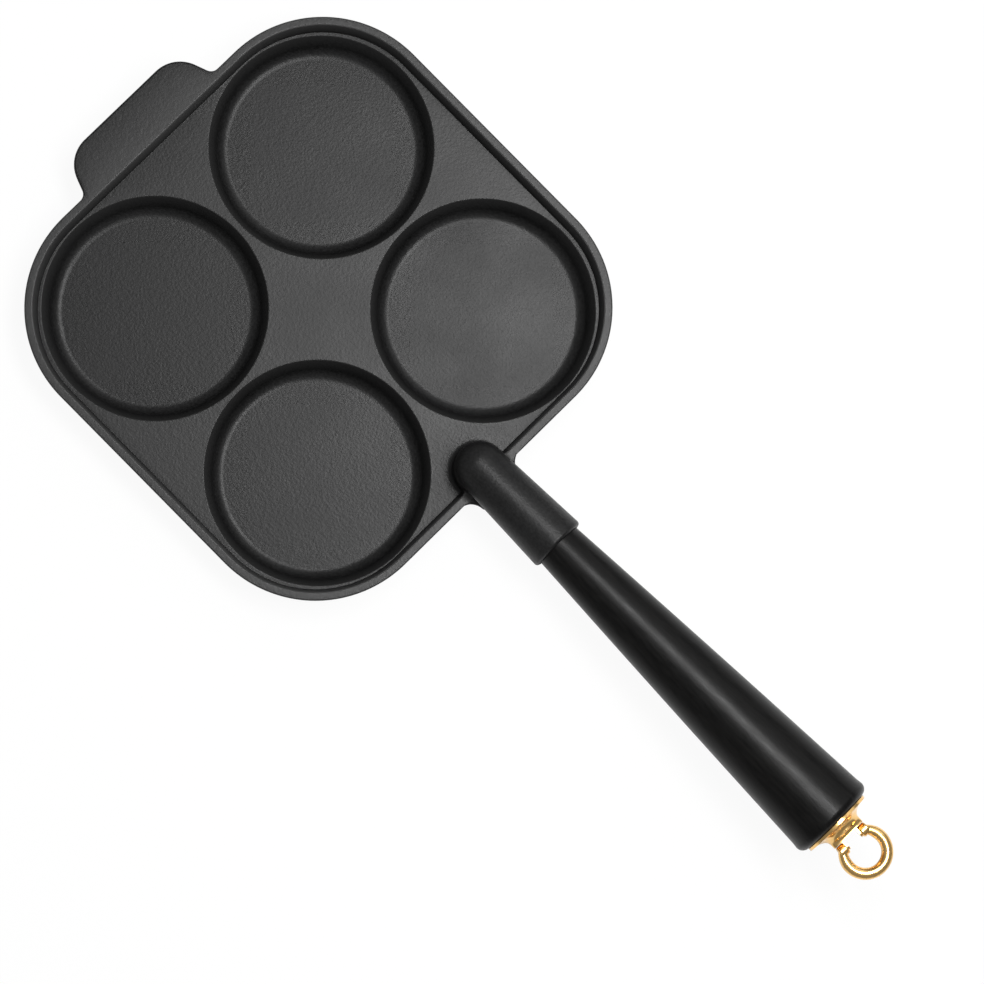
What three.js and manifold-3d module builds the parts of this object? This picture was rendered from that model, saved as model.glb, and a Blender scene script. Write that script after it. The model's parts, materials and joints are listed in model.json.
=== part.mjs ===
// Four-well cast-iron egg pan with a turned wooden handle and a swinging brass hanging loop.
// Millimetres, +Z up. The pan stands on Z = 0 and the handle points along +X.

import * as THREE from 'three';
import { mergeVertices } from 'three/addons/utils/BufferGeometryUtils.js';
import Module from 'manifold-3d';

const wasm = await Module();
wasm.setup();

const { degToRad, radToDeg } = THREE.MathUtils;

// Wells: four round flat-bottomed cups in a square
const WELL_SPACING_ALONG = 99.4;
const WELL_SPACING_ACROSS = 100.2;
const WELL_MOUTH_RADIUS = 49;
const WELL_DEPTH = 12;
const WELL_DRAFT = degToRad(20);
const WELL_FLOOR_FILLET = 2.5;
const WELL_MOUTH_ROUND = 0.8;
const FLOOR_THICKNESS = 4.5;
const CUP_WALL = 3.4;
const CUP_BASE_ROUND = 5;
const CUP_ROOT_FILLET = 1.5;

// Deck between the wells, and the raised rim around it
const DECK_THICKNESS = 4.2;
const CORNER_LEDGE = 0.15;
const SIDE_LEDGE = 1.2;
const RIM_HEIGHT = 8.5;
const RIM_WIDTH = 3.65;
const RIM_FOOT_FILLET = 1;
const RIM_INNER_DRAFT = 0.8;
const RIM_OUTER_DRAFT = 1;
const RIM_LIP_ROUND = 0.7;
const SKIRT_ROUND = 1.6;

// Helper tab opposite the handle, flush with the top of the rim
const TAB_REACH = 17.6;
const TAB_ROOT_WIDTH = 76.5;
const TAB_TIP_WIDTH = 63.5;
const TAB_THICKNESS = 5.5;
const TAB_CORNER_RADIUS = 15;
const TAB_ROOT_FILLET = 4;
const TAB_EDGE_ROUND = 1;

// Elbow that rises out of the deck and carries the handle socket over the rim
const ELBOW_SETBACK = 7;
const ELBOW_RISE = 17.5;
const ELBOW_RADIUS = 11;
const ELBOW_FOOT_FILLET = 2.5;
const HANDLE_TILT = degToRad(4);
const SOCKET_REACH = 47.3;
const SOCKET_MOUTH_RADIUS = 12.9;
const SOCKET_MOUTH_ROUND = 1.6;
const SOCKET_BORE_DEPTH = 32;
const ROOT_WEB_REACH = 20;
const ROOT_WEB_TIP_WIDTH = 8;
const ROOT_WEB_FILLET = 5;

// Turned wooden grip, whose taper runs on into the socket as a tenon
const GRIP_LENGTH = 164.7;
const GRIP_NECK_RADIUS = 10.6;
const GRIP_BUTT_RADIUS = 19.35;
const GRIP_SWELL = 0.25;
const GRIP_BUTT_ROUND = 3.5;
const GRIP_TENON_LENGTH = 31;
const GRIP_TENON_CHAMFER = 1;

// Steel rod that draws the grip into the socket, with its washer and nut
const ROD_RADIUS = 3;
const ROD_CHAMFER = 0.6;
const ROD_IN_CASTING = 11;
const ROD_PAST_NUT = 7;
const NUT_ACROSS_FLATS = 10;
const NUT_HEIGHT = 5;
const WASHER_RADIUS = 8;
const WASHER_THICKNESS = 1.5;

// Bell-shaped brass end cap with two pivot lugs
const CAP_FLANGE_RADIUS = 16;
const CAP_FLANGE_EDGE = 1.2;
const CAP_HEIGHT = 5;
const CAP_FRONT_RADIUS = 8.4;
const CAP_HUB_RADIUS = 8.2;
const CAP_HUB_LENGTH = 9;
const CAP_FRONT_WALL = 2;
const LUG_BOSS_RADIUS = 2.5;
const LUG_BOSS_HEIGHT = 2.5;
const LUG_THICKNESS = 2;
const LUG_RADIUS = 2.5;
const LUG_ROOT = 1;

// Hanging loop: an open ring of round wire with a pin turned in at each end
const LOOP_RADIUS = 9.6;
const LOOP_WIRE_RADIUS = 2.25;
const LOOP_END_ANGLE = degToRad(44);
const LOOP_PIN_RADIUS = 1.2;
const LOOP_PIN_ROOT = 1.2;

// Clearances: between faces that seat, and between a pin or rod and its hole
const SEAT_GAP = 0.3;
const SLIDE_GAP = 0.3;

// How far a cutting tool runs past the face that it opens
const CUT_MARGIN = 1;

// Facets of round forms
const WELL_SEGMENTS = 40;
const TURNED_SEGMENTS = 36;
const SMALL_SEGMENTS = 20;
const CORNER_STEPS = 10;
const FILLET_STEPS = 6;
const GRIP_STEPS = 6;
const WIRE_SIDES = 12;
const WIRE_STEPS = 30;

// Heights in the head, from the face that it stands on
const DECK_Z = FLOOR_THICKNESS + WELL_DEPTH;
const UNDERSIDE_Z = DECK_Z - DECK_THICKNESS;
const DECK_MIDDLE_Z = DECK_Z - DECK_THICKNESS / 2;
const RIM_Z = DECK_Z + RIM_HEIGHT;

// Plan of the head: each corner of the rim is an arc about a place just outside the centre of its well
const RIM_FOOT = RIM_WIDTH + RIM_INNER_DRAFT + RIM_FOOT_FILLET;
const CORNER_RADIUS = WELL_MOUTH_RADIUS + CORNER_LEDGE + RIM_FOOT;
const HALF_LENGTH = WELL_SPACING_ALONG / 2 + CORNER_RADIUS;
const RIM_MIDDLE_X = HALF_LENGTH - RIM_WIDTH / 2;
const CORNERS = [[1, 1], [-1, 1], [-1, -1], [1, -1]];
const WELL_CENTRES = CORNERS.map(
  ([along, across]) => [along * WELL_SPACING_ALONG / 2, across * WELL_SPACING_ACROSS / 2],
);
const RIM_CENTRES = CORNERS.map(
  ([along, across]) => [along * WELL_SPACING_ALONG / 2, across * (WELL_SPACING_ACROSS / 2 + SIDE_LEDGE)],
);

// Places along the handle's own axis, from the centre of the elbow
const ELBOW_X = HALF_LENGTH - ELBOW_SETBACK;
const ELBOW_Z = DECK_Z + ELBOW_RISE;
const BORE_END = SOCKET_REACH - SOCKET_BORE_DEPTH;
const TENON_END = SOCKET_REACH - GRIP_TENON_LENGTH;
const BUTT = SOCKET_REACH + GRIP_LENGTH;
const ROD_HOLE_RADIUS = ROD_RADIUS + SLIDE_GAP;
const ROD_HOLE_END = BORE_END - ROD_IN_CASTING;
const CAP_SEAT = BUTT + SEAT_GAP;
const CAP_FRONT = CAP_SEAT + CAP_HEIGHT;
const HUB_END = CAP_SEAT - CAP_HUB_LENGTH;
const NUT_END = HUB_END - SEAT_GAP;
const NUT_START = NUT_END - NUT_HEIGHT;
const WASHER_END = NUT_START - SEAT_GAP;
const WASHER_START = WASHER_END - WASHER_THICKNESS;
const COUNTERBORE_END = WASHER_START - SEAT_GAP;
const COUNTERBORE_RADIUS = Math.max(WASHER_RADIUS, CAP_HUB_RADIUS) + SLIDE_GAP;
const GRIP_TAPER = (GRIP_BUTT_RADIUS - GRIP_NECK_RADIUS) / GRIP_LENGTH;

// The loop's ends turn inside this radius about the pivot, just clear of the bosses and lugs
const LOOP_END_SWEEP = LOOP_WIRE_RADIUS * Math.hypot(1, Math.cos(LOOP_END_ANGLE));
const PIVOT = CAP_FRONT + LUG_BOSS_HEIGHT + LOOP_END_SWEEP + SLIDE_GAP;
const LOOP_CENTRE = PIVOT + LOOP_RADIUS * Math.cos(LOOP_END_ANGLE);
const LUG_OUTER = (LOOP_RADIUS - LOOP_WIRE_RADIUS) * Math.sin(LOOP_END_ANGLE) - SLIDE_GAP;
const LUG_INNER = LUG_OUTER - LUG_THICKNESS;

const iron = new THREE.MeshStandardMaterial({ color: 0x3b3b3c, roughness: 0.72, metalness: 0.35 });
const wood = new THREE.MeshStandardMaterial({ color: 0x17161a, roughness: 0.42, metalness: 0 });
const brass = new THREE.MeshStandardMaterial({ color: 0xd9a441, roughness: 0.16, metalness: 1 });
const steel = new THREE.MeshStandardMaterial({ color: 0x9a9c9f, roughness: 0.35, metalness: 1 });

const handleFrame = new THREE.Matrix4()
  .makeTranslation(ELBOW_X, 0, ELBOW_Z)
  .multiply(new THREE.Matrix4().makeRotationY(-HANDLE_TILT));

const at = (x, y) => new THREE.Vector2(x, y);

// Points on an arc of a profile, between two angles in degrees
function arc(centreX, centreY, radius, from, to, steps) {
  return Array.from({ length: steps + 1 }, (_, i) => {
    const angle = degToRad(from + (to - from) * i / steps);
    return at(centreX + radius * Math.cos(angle), centreY + radius * Math.sin(angle));
  });
}

// A closed geometry becomes a solid that can be joined and cut
function solid(geometry, matrix = new THREE.Matrix4()) {
  const placed = geometry.clone().applyMatrix4(matrix);
  placed.deleteAttribute('normal');
  placed.deleteAttribute('uv');
  const merged = mergeVertices(placed);
  const corners = merged.index.array;
  const triVerts = [];
  for (let i = 0; i < corners.length; i += 3) {
    const [a, b, c] = corners.slice(i, i + 3);
    if (a !== b && b !== c && c !== a) triVerts.push(a, b, c);
  }
  return new wasm.Manifold(new wasm.Mesh({
    numProp: 3,
    vertProperties: merged.attributes.position.array,
    triVerts: new Uint32Array(triVerts),
  }));
}

function geometryOf(manifold) {
  const { vertProperties, triVerts } = manifold.getMesh();
  const geometry = new THREE.BufferGeometry();
  geometry.setAttribute('position', new THREE.BufferAttribute(vertProperties, 3));
  geometry.setIndex(new THREE.BufferAttribute(triVerts, 1));
  geometry.computeVertexNormals();
  return geometry;
}

// A profile of radius and height turned about +Z, from its lower end to its upper end
function turnedUp(profile, segments) {
  return new THREE.LatheGeometry(profile, segments).rotateX(Math.PI / 2);
}

// A profile of radius and distance turned about the handle's axis
function turnedAlong(profile, segments = TURNED_SEGMENTS) {
  return new THREE.LatheGeometry(profile, segments).rotateZ(-Math.PI / 2);
}

// A plain round bar on the handle's axis
function barAlong(radius, from, to, segments = SMALL_SEGMENTS) {
  return turnedAlong([at(0, from), at(radius, from), at(radius, to), at(0, to)], segments);
}

// A closed outline given as corners of x, y and radius
function roundedShape(corners) {
  const outline = corners.flatMap(([x, y, radius], i) => {
    if (radius === 0) return [at(x, y)];
    const [beforeX, beforeY] = corners.at(i - 1);
    const [afterX, afterY] = corners[(i + 1) % corners.length];
    const before = at(beforeX - x, beforeY - y).normalize();
    const after = at(afterX - x, afterY - y).normalize();
    const half = Math.acos(before.dot(after)) / 2;
    const reach = radius / Math.sin(half);
    const inward = before.clone().add(after).setLength(reach);
    const turn = Math.sign(after.cross(before)) * (90 - radToDeg(half));
    const middle = radToDeg(inward.angle()) + 180;
    return arc(x + inward.x, y + inward.y, radius, middle - turn, middle + turn, FILLET_STEPS);
  });
  return new THREE.Shape(outline);
}

// An outline in plan, raised from one height to another, with its edges rounded inside the outline
function raised(shape, bottom, top, round = 0) {
  return new THREE.ExtrudeGeometry(shape, {
    depth: top - bottom - 2 * round,
    bevelEnabled: round > 0,
    bevelSize: round,
    bevelThickness: round,
    bevelOffset: -round,
    bevelSegments: 2,
  }).translate(0, 0, bottom + round);
}

// An outline of length and height, spread across the pan to both sides of a middle
function spreadAcross(shape, width, middle = 0) {
  return new THREE.ExtrudeGeometry(shape, { depth: width, bevelEnabled: false, curveSegments: 8 })
    .translate(0, 0, -width / 2)
    .rotateX(Math.PI / 2)
    .translate(0, middle, 0);
}

// All of the space between two places along the head
function lengthOfHead(from, to) {
  const height = 2 * (ELBOW_Z + ELBOW_RADIUS + CUT_MARGIN);
  const block = new THREE.BoxGeometry(to - from, 2 * (HALF_LENGTH + WELL_SPACING_ACROSS), height);
  return solid(block.translate((from + to) / 2, 0, 0));
}

// The head's outline, drawn in from the outer edge of the rim
function headOutline(inset) {
  return RIM_CENTRES.flatMap(([x, y], corner) => {
    const start = corner * 90;
    return arc(x, y, CORNER_RADIUS - inset, start, start + 90, CORNER_STEPS);
  });
}

// Outlines stacked into one closed skin, from the underside over the rim and down to the deck
function stackedOutlines(levels) {
  const rings = levels.map(({ x: inset, y: z }) => headOutline(inset).map((p) => [p.x, p.y, z]));
  const count = rings[0].length;
  const vertices = [...rings.flat(), [0, 0, levels[0].y], [0, 0, levels.at(-1).y]];
  const bottom = vertices.length - 2;
  const top = vertices.length - 1;
  const last = (rings.length - 1) * count;
  const faces = [];
  for (let i = 0; i < count; i += 1) {
    const next = (i + 1) % count;
    faces.push(bottom, next, i);
    faces.push(top, last + i, last + next);
    for (let ring = 0; ring < last; ring += count) {
      const above = ring + count;
      faces.push(ring + i, ring + next, above + next);
      faces.push(ring + i, above + next, above + i);
    }
  }
  const geometry = new THREE.BufferGeometry();
  geometry.setAttribute('position', new THREE.Float32BufferAttribute(vertices.flat(), 3));
  geometry.setIndex(faces);
  return geometry;
}

// Deck and rim: the section of the edge, as inset and height, carried round the head
function deckAndRim() {
  const lipZ = RIM_Z - RIM_LIP_ROUND;
  const section = [
    ...arc(RIM_OUTER_DRAFT + SKIRT_ROUND, UNDERSIDE_Z + SKIRT_ROUND, SKIRT_ROUND, 270, 180, 3),
    ...arc(RIM_LIP_ROUND, lipZ, RIM_LIP_ROUND, 180, 90, 2),
    ...arc(RIM_WIDTH - RIM_LIP_ROUND, lipZ, RIM_LIP_ROUND, 90, 0, 2),
    ...arc(RIM_FOOT, DECK_Z + RIM_FOOT_FILLET, RIM_FOOT_FILLET, 180, 270, 3),
  ];
  return solid(stackedOutlines(section));
}

// An arc that turns out of a wall with the wells' draft into a level face above it
function wallToLevel(centreX, levelZ, round) {
  return arc(centreX, levelZ - round, round, 180 - radToDeg(WELL_DRAFT), 90, 3);
}

// The rounded mouth of a well, from the top of its drafted wall to the deck
const wellMouth = () => wallToLevel(WELL_MOUTH_RADIUS, DECK_Z, WELL_MOUTH_ROUND);

// Radius at a height of the face that stands a distance outside a well's wall
function wellWall(z, outward) {
  const [top] = wellMouth();
  return top.x - (top.y - z) * Math.tan(WELL_DRAFT) + outward / Math.cos(WELL_DRAFT);
}

// An arc that runs from a floor into such a face
function floorToWall(floorZ, round, outward) {
  const centreZ = floorZ + round;
  return arc(wellWall(centreZ, outward - round), centreZ, round, -90, -radToDeg(WELL_DRAFT), 4);
}

// The space inside one well
function wellSpace() {
  const top = DECK_Z + CUT_MARGIN;
  return turnedUp([
    at(0, FLOOR_THICKNESS),
    ...floorToWall(FLOOR_THICKNESS, WELL_FLOOR_FILLET, 0),
    ...wellMouth(),
    at(WELL_MOUTH_RADIUS, top),
    at(0, top),
  ], WELL_SEGMENTS);
}

// The cup that stands below the deck around one well, with a fillet where it leaves the deck
function cup() {
  const foot = wellWall(UNDERSIDE_Z - CUP_ROOT_FILLET, CUP_WALL + CUP_ROOT_FILLET);
  return turnedUp([
    at(0, 0),
    ...floorToWall(0, CUP_BASE_ROUND, CUP_WALL),
    ...wallToLevel(foot, UNDERSIDE_Z, CUP_ROOT_FILLET),
    at(foot, DECK_MIDDLE_Z),
    at(0, DECK_MIDDLE_Z),
  ], WELL_SEGMENTS);
}

function tab() {
  const root = TAB_ROOT_WIDTH / 2;
  const foot = root + 2 * TAB_ROOT_FILLET;
  const tip = TAB_TIP_WIDTH / 2;
  const edge = -HALF_LENGTH + TAB_EDGE_ROUND;
  const end = -HALF_LENGTH - TAB_REACH;
  const outline = roundedShape([
    [0, foot, 0],
    [edge, foot, 0],
    [edge, root, TAB_ROOT_FILLET],
    [end, tip, TAB_CORNER_RADIUS],
    [end, -tip, TAB_CORNER_RADIUS],
    [edge, -root, TAB_ROOT_FILLET],
    [edge, -foot, 0],
    [0, -foot, 0],
  ]);
  const plate = solid(raised(outline, RIM_Z - TAB_THICKNESS, RIM_Z, TAB_EDGE_ROUND));
  return plate.intersect(lengthOfHead(end - CUT_MARGIN, -RIM_MIDDLE_X));
}

// The upright leg of the elbow: beside the rim it keeps inside it, and above the rim it is fully round
function elbowLeg() {
  const foot = ELBOW_RADIUS + ELBOW_FOOT_FILLET;
  const neckZ = RIM_Z - RIM_LIP_ROUND;
  const ball = arc(0, ELBOW_Z, ELBOW_RADIUS, 0, 90, 6);
  const leg = turnedUp([
    at(0, DECK_MIDDLE_Z),
    at(foot, DECK_MIDDLE_Z),
    ...arc(foot, DECK_Z + ELBOW_FOOT_FILLET, ELBOW_FOOT_FILLET, 270, 180, 3),
    ...ball,
  ], TURNED_SEGMENTS);
  const neck = turnedUp([at(0, neckZ), at(ELBOW_RADIUS, neckZ), ...ball], TURNED_SEGMENTS);
  const insideRim = solid(leg.translate(ELBOW_X, 0, 0)).intersect(lengthOfHead(0, RIM_MIDDLE_X));
  return insideRim.add(solid(neck.translate(ELBOW_X, 0, 0)));
}

// The round socket, from the ball of the elbow to its flared mouth
function socketBody() {
  const round = SOCKET_MOUTH_ROUND;
  return turnedAlong([
    ...arc(0, 0, ELBOW_RADIUS, -90, 0, 6),
    ...arc(SOCKET_MOUTH_RADIUS - round, SOCKET_REACH - round, round, 0, 90, 3),
    at(0, SOCKET_REACH),
  ]);
}

// Radius of the grip's plain taper at a place on the handle's axis
const gripRadius = (along) => GRIP_NECK_RADIUS + GRIP_TAPER * (along - SOCKET_REACH);

// The grip's outside from the socket to its butt, where it swells a little beyond the plain taper
function gripOutside() {
  return Array.from({ length: GRIP_STEPS }, (_, i) => {
    const share = i / GRIP_STEPS;
    const along = SOCKET_REACH + share * (GRIP_LENGTH - GRIP_BUTT_ROUND);
    return at(gripRadius(along) + GRIP_SWELL * Math.sin(Math.PI * share), along);
  });
}

// The tapered bore for the tenon
function socketBore() {
  const open = SOCKET_REACH + CUT_MARGIN;
  return turnedAlong([
    at(0, BORE_END),
    at(gripRadius(BORE_END) + SEAT_GAP, BORE_END),
    at(gripRadius(open) + SEAT_GAP, open),
    at(0, open),
  ]);
}

// The web that ties the socket to the outside of the rim, filleted in plan and hollowed below
function rootWeb() {
  const foot = ELBOW_RADIUS + 2 * ROOT_WEB_FILLET;
  const bottom = UNDERSIDE_Z + SKIRT_ROUND;
  const tip = ROOT_WEB_TIP_WIDTH / 2;
  const end = HALF_LENGTH + ROOT_WEB_REACH;
  const wall = HALF_LENGTH - RIM_OUTER_DRAFT;
  const plan = roundedShape([
    [RIM_MIDDLE_X, -foot, 0],
    [HALF_LENGTH, -foot, 0],
    [HALF_LENGTH, -ELBOW_RADIUS, ROOT_WEB_FILLET],
    [end, -tip, tip / 2],
    [end, tip, tip / 2],
    [HALF_LENGTH, ELBOW_RADIUS, ROOT_WEB_FILLET],
    [HALF_LENGTH, foot, 0],
    [RIM_MIDDLE_X, foot, 0],
  ]);
  const side = new THREE.Shape()
    .moveTo(RIM_MIDDLE_X, bottom)
    .lineTo(wall, bottom)
    .quadraticCurveTo(wall, ELBOW_Z - ELBOW_RADIUS, end + CUT_MARGIN, ELBOW_Z - ELBOW_RADIUS)
    .lineTo(end + CUT_MARGIN, ELBOW_Z)
    .lineTo(RIM_MIDDLE_X, ELBOW_Z);
  return solid(raised(plan, bottom, RIM_Z)).intersect(solid(spreadAcross(side, 4 * foot)));
}

// The whole iron casting: wells, deck, rim, tab, elbow and socket in one piece
function panCasting() {
  let body = deckAndRim().add(tab()).add(elbowLeg()).add(rootWeb()).add(solid(socketBody(), handleFrame));
  for (const [x, y] of WELL_CENTRES) body = body.add(solid(cup().translate(x, y, 0)));
  for (const [x, y] of WELL_CENTRES) body = body.subtract(solid(wellSpace().translate(x, y, 0)));
  const rodHole = barAlong(ROD_HOLE_RADIUS, ROD_HOLE_END, BORE_END + CUT_MARGIN);
  body = body.subtract(solid(socketBore(), handleFrame)).subtract(solid(rodHole, handleFrame));
  return geometryOf(body);
}

function handleGrip() {
  const round = GRIP_BUTT_ROUND;
  const tenon = gripRadius(TENON_END);
  return geometryOf(solid(turnedAlong([
    at(ROD_HOLE_RADIUS, TENON_END),
    at(tenon - GRIP_TENON_CHAMFER, TENON_END),
    at(tenon, TENON_END + GRIP_TENON_CHAMFER),
    ...gripOutside(),
    ...arc(GRIP_BUTT_RADIUS - round, BUTT - round, round, 0, 90, 4),
    at(COUNTERBORE_RADIUS, BUTT),
    at(COUNTERBORE_RADIUS, COUNTERBORE_END),
    at(ROD_HOLE_RADIUS, COUNTERBORE_END),
    at(ROD_HOLE_RADIUS, TENON_END),
  ])));
}

function tieRod() {
  const start = ROD_HOLE_END + SEAT_GAP;
  const end = NUT_END + ROD_PAST_NUT;
  const tip = ROD_RADIUS - ROD_CHAMFER;
  return geometryOf(solid(turnedAlong([
    at(0, start),
    at(tip, start),
    at(ROD_RADIUS, start + ROD_CHAMFER),
    at(ROD_RADIUS, end - ROD_CHAMFER),
    at(tip, end),
    at(0, end),
  ], SMALL_SEGMENTS)));
}

function gripWasher() {
  return geometryOf(solid(turnedAlong([
    at(ROD_HOLE_RADIUS, WASHER_START),
    at(WASHER_RADIUS, WASHER_START),
    at(WASHER_RADIUS, WASHER_END),
    at(ROD_HOLE_RADIUS, WASHER_END),
    at(ROD_HOLE_RADIUS, WASHER_START),
  ])));
}

function gripNut() {
  const hexagon = barAlong(NUT_ACROSS_FLATS / Math.sqrt(3), NUT_START, NUT_END, 6);
  const hole = barAlong(ROD_HOLE_RADIUS, NUT_START - CUT_MARGIN, NUT_END + CUT_MARGIN);
  return geometryOf(solid(hexagon).subtract(solid(hole)));
}

// One lug of the cap: a round boss on the cap's front and an ear bored across for the loop's pin
function capLug(side) {
  const root = CAP_FRONT - LUG_ROOT;
  const ear = new THREE.Shape()
    .moveTo(root, -LUG_RADIUS)
    .lineTo(PIVOT, -LUG_RADIUS)
    .absarc(PIVOT, 0, LUG_RADIUS, -Math.PI / 2, Math.PI / 2)
    .lineTo(root, LUG_RADIUS);
  ear.holes.push(new THREE.Path().absarc(PIVOT, 0, LOOP_PIN_RADIUS + SLIDE_GAP, 0, 2 * Math.PI));
  const boss = barAlong(LUG_BOSS_RADIUS, root, CAP_FRONT + LUG_BOSS_HEIGHT);
  const middle = side * (LUG_INNER + LUG_OUTER) / 2;
  const bossMiddle = side * (LUG_INNER + LUG_BOSS_RADIUS);
  return solid(spreadAcross(ear, LUG_THICKNESS, middle)).add(solid(boss.translate(0, bossMiddle, 0)));
}

// Bell-shaped cap: a flange on the butt, a hub in the counterbore and a concave flare to the front
function endCap() {
  const holeEnd = CAP_FRONT - CAP_FRONT_WALL;
  const flare = new THREE.EllipseCurve(
    CAP_FLANGE_RADIUS,
    CAP_FRONT,
    CAP_FLANGE_RADIUS - CAP_FRONT_RADIUS,
    CAP_HEIGHT - CAP_FLANGE_EDGE,
    1.5 * Math.PI,
    Math.PI,
    true,
  );
  const bell = solid(turnedAlong([
    at(0, holeEnd),
    at(ROD_HOLE_RADIUS, holeEnd),
    at(ROD_HOLE_RADIUS, HUB_END),
    at(CAP_HUB_RADIUS, HUB_END),
    at(CAP_HUB_RADIUS, CAP_SEAT),
    at(CAP_FLANGE_RADIUS, CAP_SEAT),
    ...flare.getPoints(6),
    at(0, CAP_FRONT),
  ]));
  return geometryOf(bell.add(capLug(1)).add(capLug(-1)));
}

// Centre line of the loop's ring, open on the side of the cap
class LoopRing extends THREE.Curve {
  getPoint(t, target = new THREE.Vector3()) {
    const angle = LOOP_END_ANGLE + t * 2 * (Math.PI - LOOP_END_ANGLE);
    return target.set(LOOP_CENTRE - LOOP_RADIUS * Math.cos(angle), LOOP_RADIUS * Math.sin(angle), 0);
  }
}

function hangingLoop() {
  const section = new THREE.Shape().absarc(0, 0, LOOP_WIRE_RADIUS, 0, 2 * Math.PI);
  let loop = solid(new THREE.ExtrudeGeometry(section, {
    steps: WIRE_STEPS,
    extrudePath: new LoopRing(),
    bevelEnabled: false,
    curveSegments: WIRE_SIDES / 2,
  }));
  const pinEnd = LUG_INNER;
  const pinStart = LOOP_RADIUS * Math.sin(LOOP_END_ANGLE) + LOOP_PIN_ROOT;
  for (const side of [1, -1]) {
    const pin = new THREE.CylinderGeometry(LOOP_PIN_RADIUS, LOOP_PIN_RADIUS, pinStart - pinEnd, WIRE_SIDES);
    loop = loop.add(solid(pin.translate(PIVOT, side * (pinStart + pinEnd) / 2, 0)));
  }
  return geometryOf(loop);
}

function piece(name, geometry, material) {
  const mesh = new THREE.Mesh(geometry, material);
  mesh.name = name;
  return mesh;
}

// The handle's pieces share its tilted axis
const handle = new THREE.Group();
handle.position.set(ELBOW_X, 0, ELBOW_Z);
handle.rotation.y = -HANDLE_TILT;
handle.add(
  piece('handle_grip', handleGrip(), wood),
  piece('tie_rod', tieRod(), steel),
  piece('grip_washer', gripWasher(), steel),
  piece('grip_nut', gripNut(), steel),
  piece('end_cap', endCap(), brass),
  piece('hanging_loop', hangingLoop(), brass),
);

// The origin is the middle of the pan's footprint box, on the face that it stands on
const eggPan = new THREE.Group();
eggPan.add(piece('pan_casting', panCasting(), iron), handle);
const extent = new THREE.Box3().setFromObject(eggPan, true);
eggPan.position.x = -(extent.min.x + extent.max.x) / 2;

export default eggPan;
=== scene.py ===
"""An egg pan of cast iron with a turned wooden handle and a brass hanging loop.

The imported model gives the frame. One operator makes each piece in its place in that frame, and the
stage operator adds the floor, the lamps and the camera. Lengths are in metres.
"""

import json
import math
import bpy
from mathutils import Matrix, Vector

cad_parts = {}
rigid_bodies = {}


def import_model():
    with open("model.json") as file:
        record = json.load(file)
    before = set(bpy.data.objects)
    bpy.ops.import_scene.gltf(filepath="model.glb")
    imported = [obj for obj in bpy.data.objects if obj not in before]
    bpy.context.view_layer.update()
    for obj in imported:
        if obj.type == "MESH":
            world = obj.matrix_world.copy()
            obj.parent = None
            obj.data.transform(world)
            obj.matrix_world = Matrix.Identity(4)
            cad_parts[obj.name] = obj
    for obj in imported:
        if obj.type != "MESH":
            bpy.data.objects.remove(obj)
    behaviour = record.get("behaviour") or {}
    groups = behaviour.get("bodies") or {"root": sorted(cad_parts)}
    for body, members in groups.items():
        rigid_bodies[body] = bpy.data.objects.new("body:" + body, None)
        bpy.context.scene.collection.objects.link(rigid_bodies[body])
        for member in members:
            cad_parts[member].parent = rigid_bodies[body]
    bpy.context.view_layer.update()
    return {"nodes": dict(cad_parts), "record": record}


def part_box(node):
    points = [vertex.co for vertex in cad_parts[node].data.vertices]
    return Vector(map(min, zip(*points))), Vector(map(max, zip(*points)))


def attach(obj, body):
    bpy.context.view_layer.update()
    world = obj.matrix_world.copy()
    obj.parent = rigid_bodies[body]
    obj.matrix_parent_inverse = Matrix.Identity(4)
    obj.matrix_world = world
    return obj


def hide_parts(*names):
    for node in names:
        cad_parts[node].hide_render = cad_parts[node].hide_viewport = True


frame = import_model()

from types import SimpleNamespace

import bmesh
import bpy
import numpy as np
from bpy.props import FloatProperty, FloatVectorProperty, IntProperty, PointerProperty
from bpy.types import Operator, Panel, PropertyGroup
from mathutils import Matrix, Vector
from mathutils.geometry import delaunay_2d_cdt

bl_info = {
    "name": "Egg pan",
    "version": (1, 0, 0),
    "blender": (4, 5, 0),
    "location": "View3D > Sidebar > Egg pan",
    "description": "Makes a cast-iron egg pan with a wooden handle and a brass hanging loop",
    "category": "Object",
}

# What counts as nothing: a corner's radius, a bend, a gap, a sliver's edge, a divisor
NO_RADIUS = 1e-7
STRAIGHT = 1e-4
SAME_POINT = 1e-6
SLIVER = 2e-7
LEAST_DIVISOR = 1e-18


# Sizes and colours that a user would change


def length(name, default, description):
    """A length in metres."""
    return FloatProperty(
        name=name, description=description, default=default, min=0.0, unit="LENGTH", precision=4
    )


def angle(name, default, description):
    """An angle, whose default is given in degrees."""
    return FloatProperty(
        name=name, description=description, default=math.radians(default), unit="ROTATION"
    )


def tint(name, default, description):
    """A colour in linear light."""
    return FloatVectorProperty(
        name=name, description=description, default=default, min=0.0, max=1.0, subtype="COLOR"
    )


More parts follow.
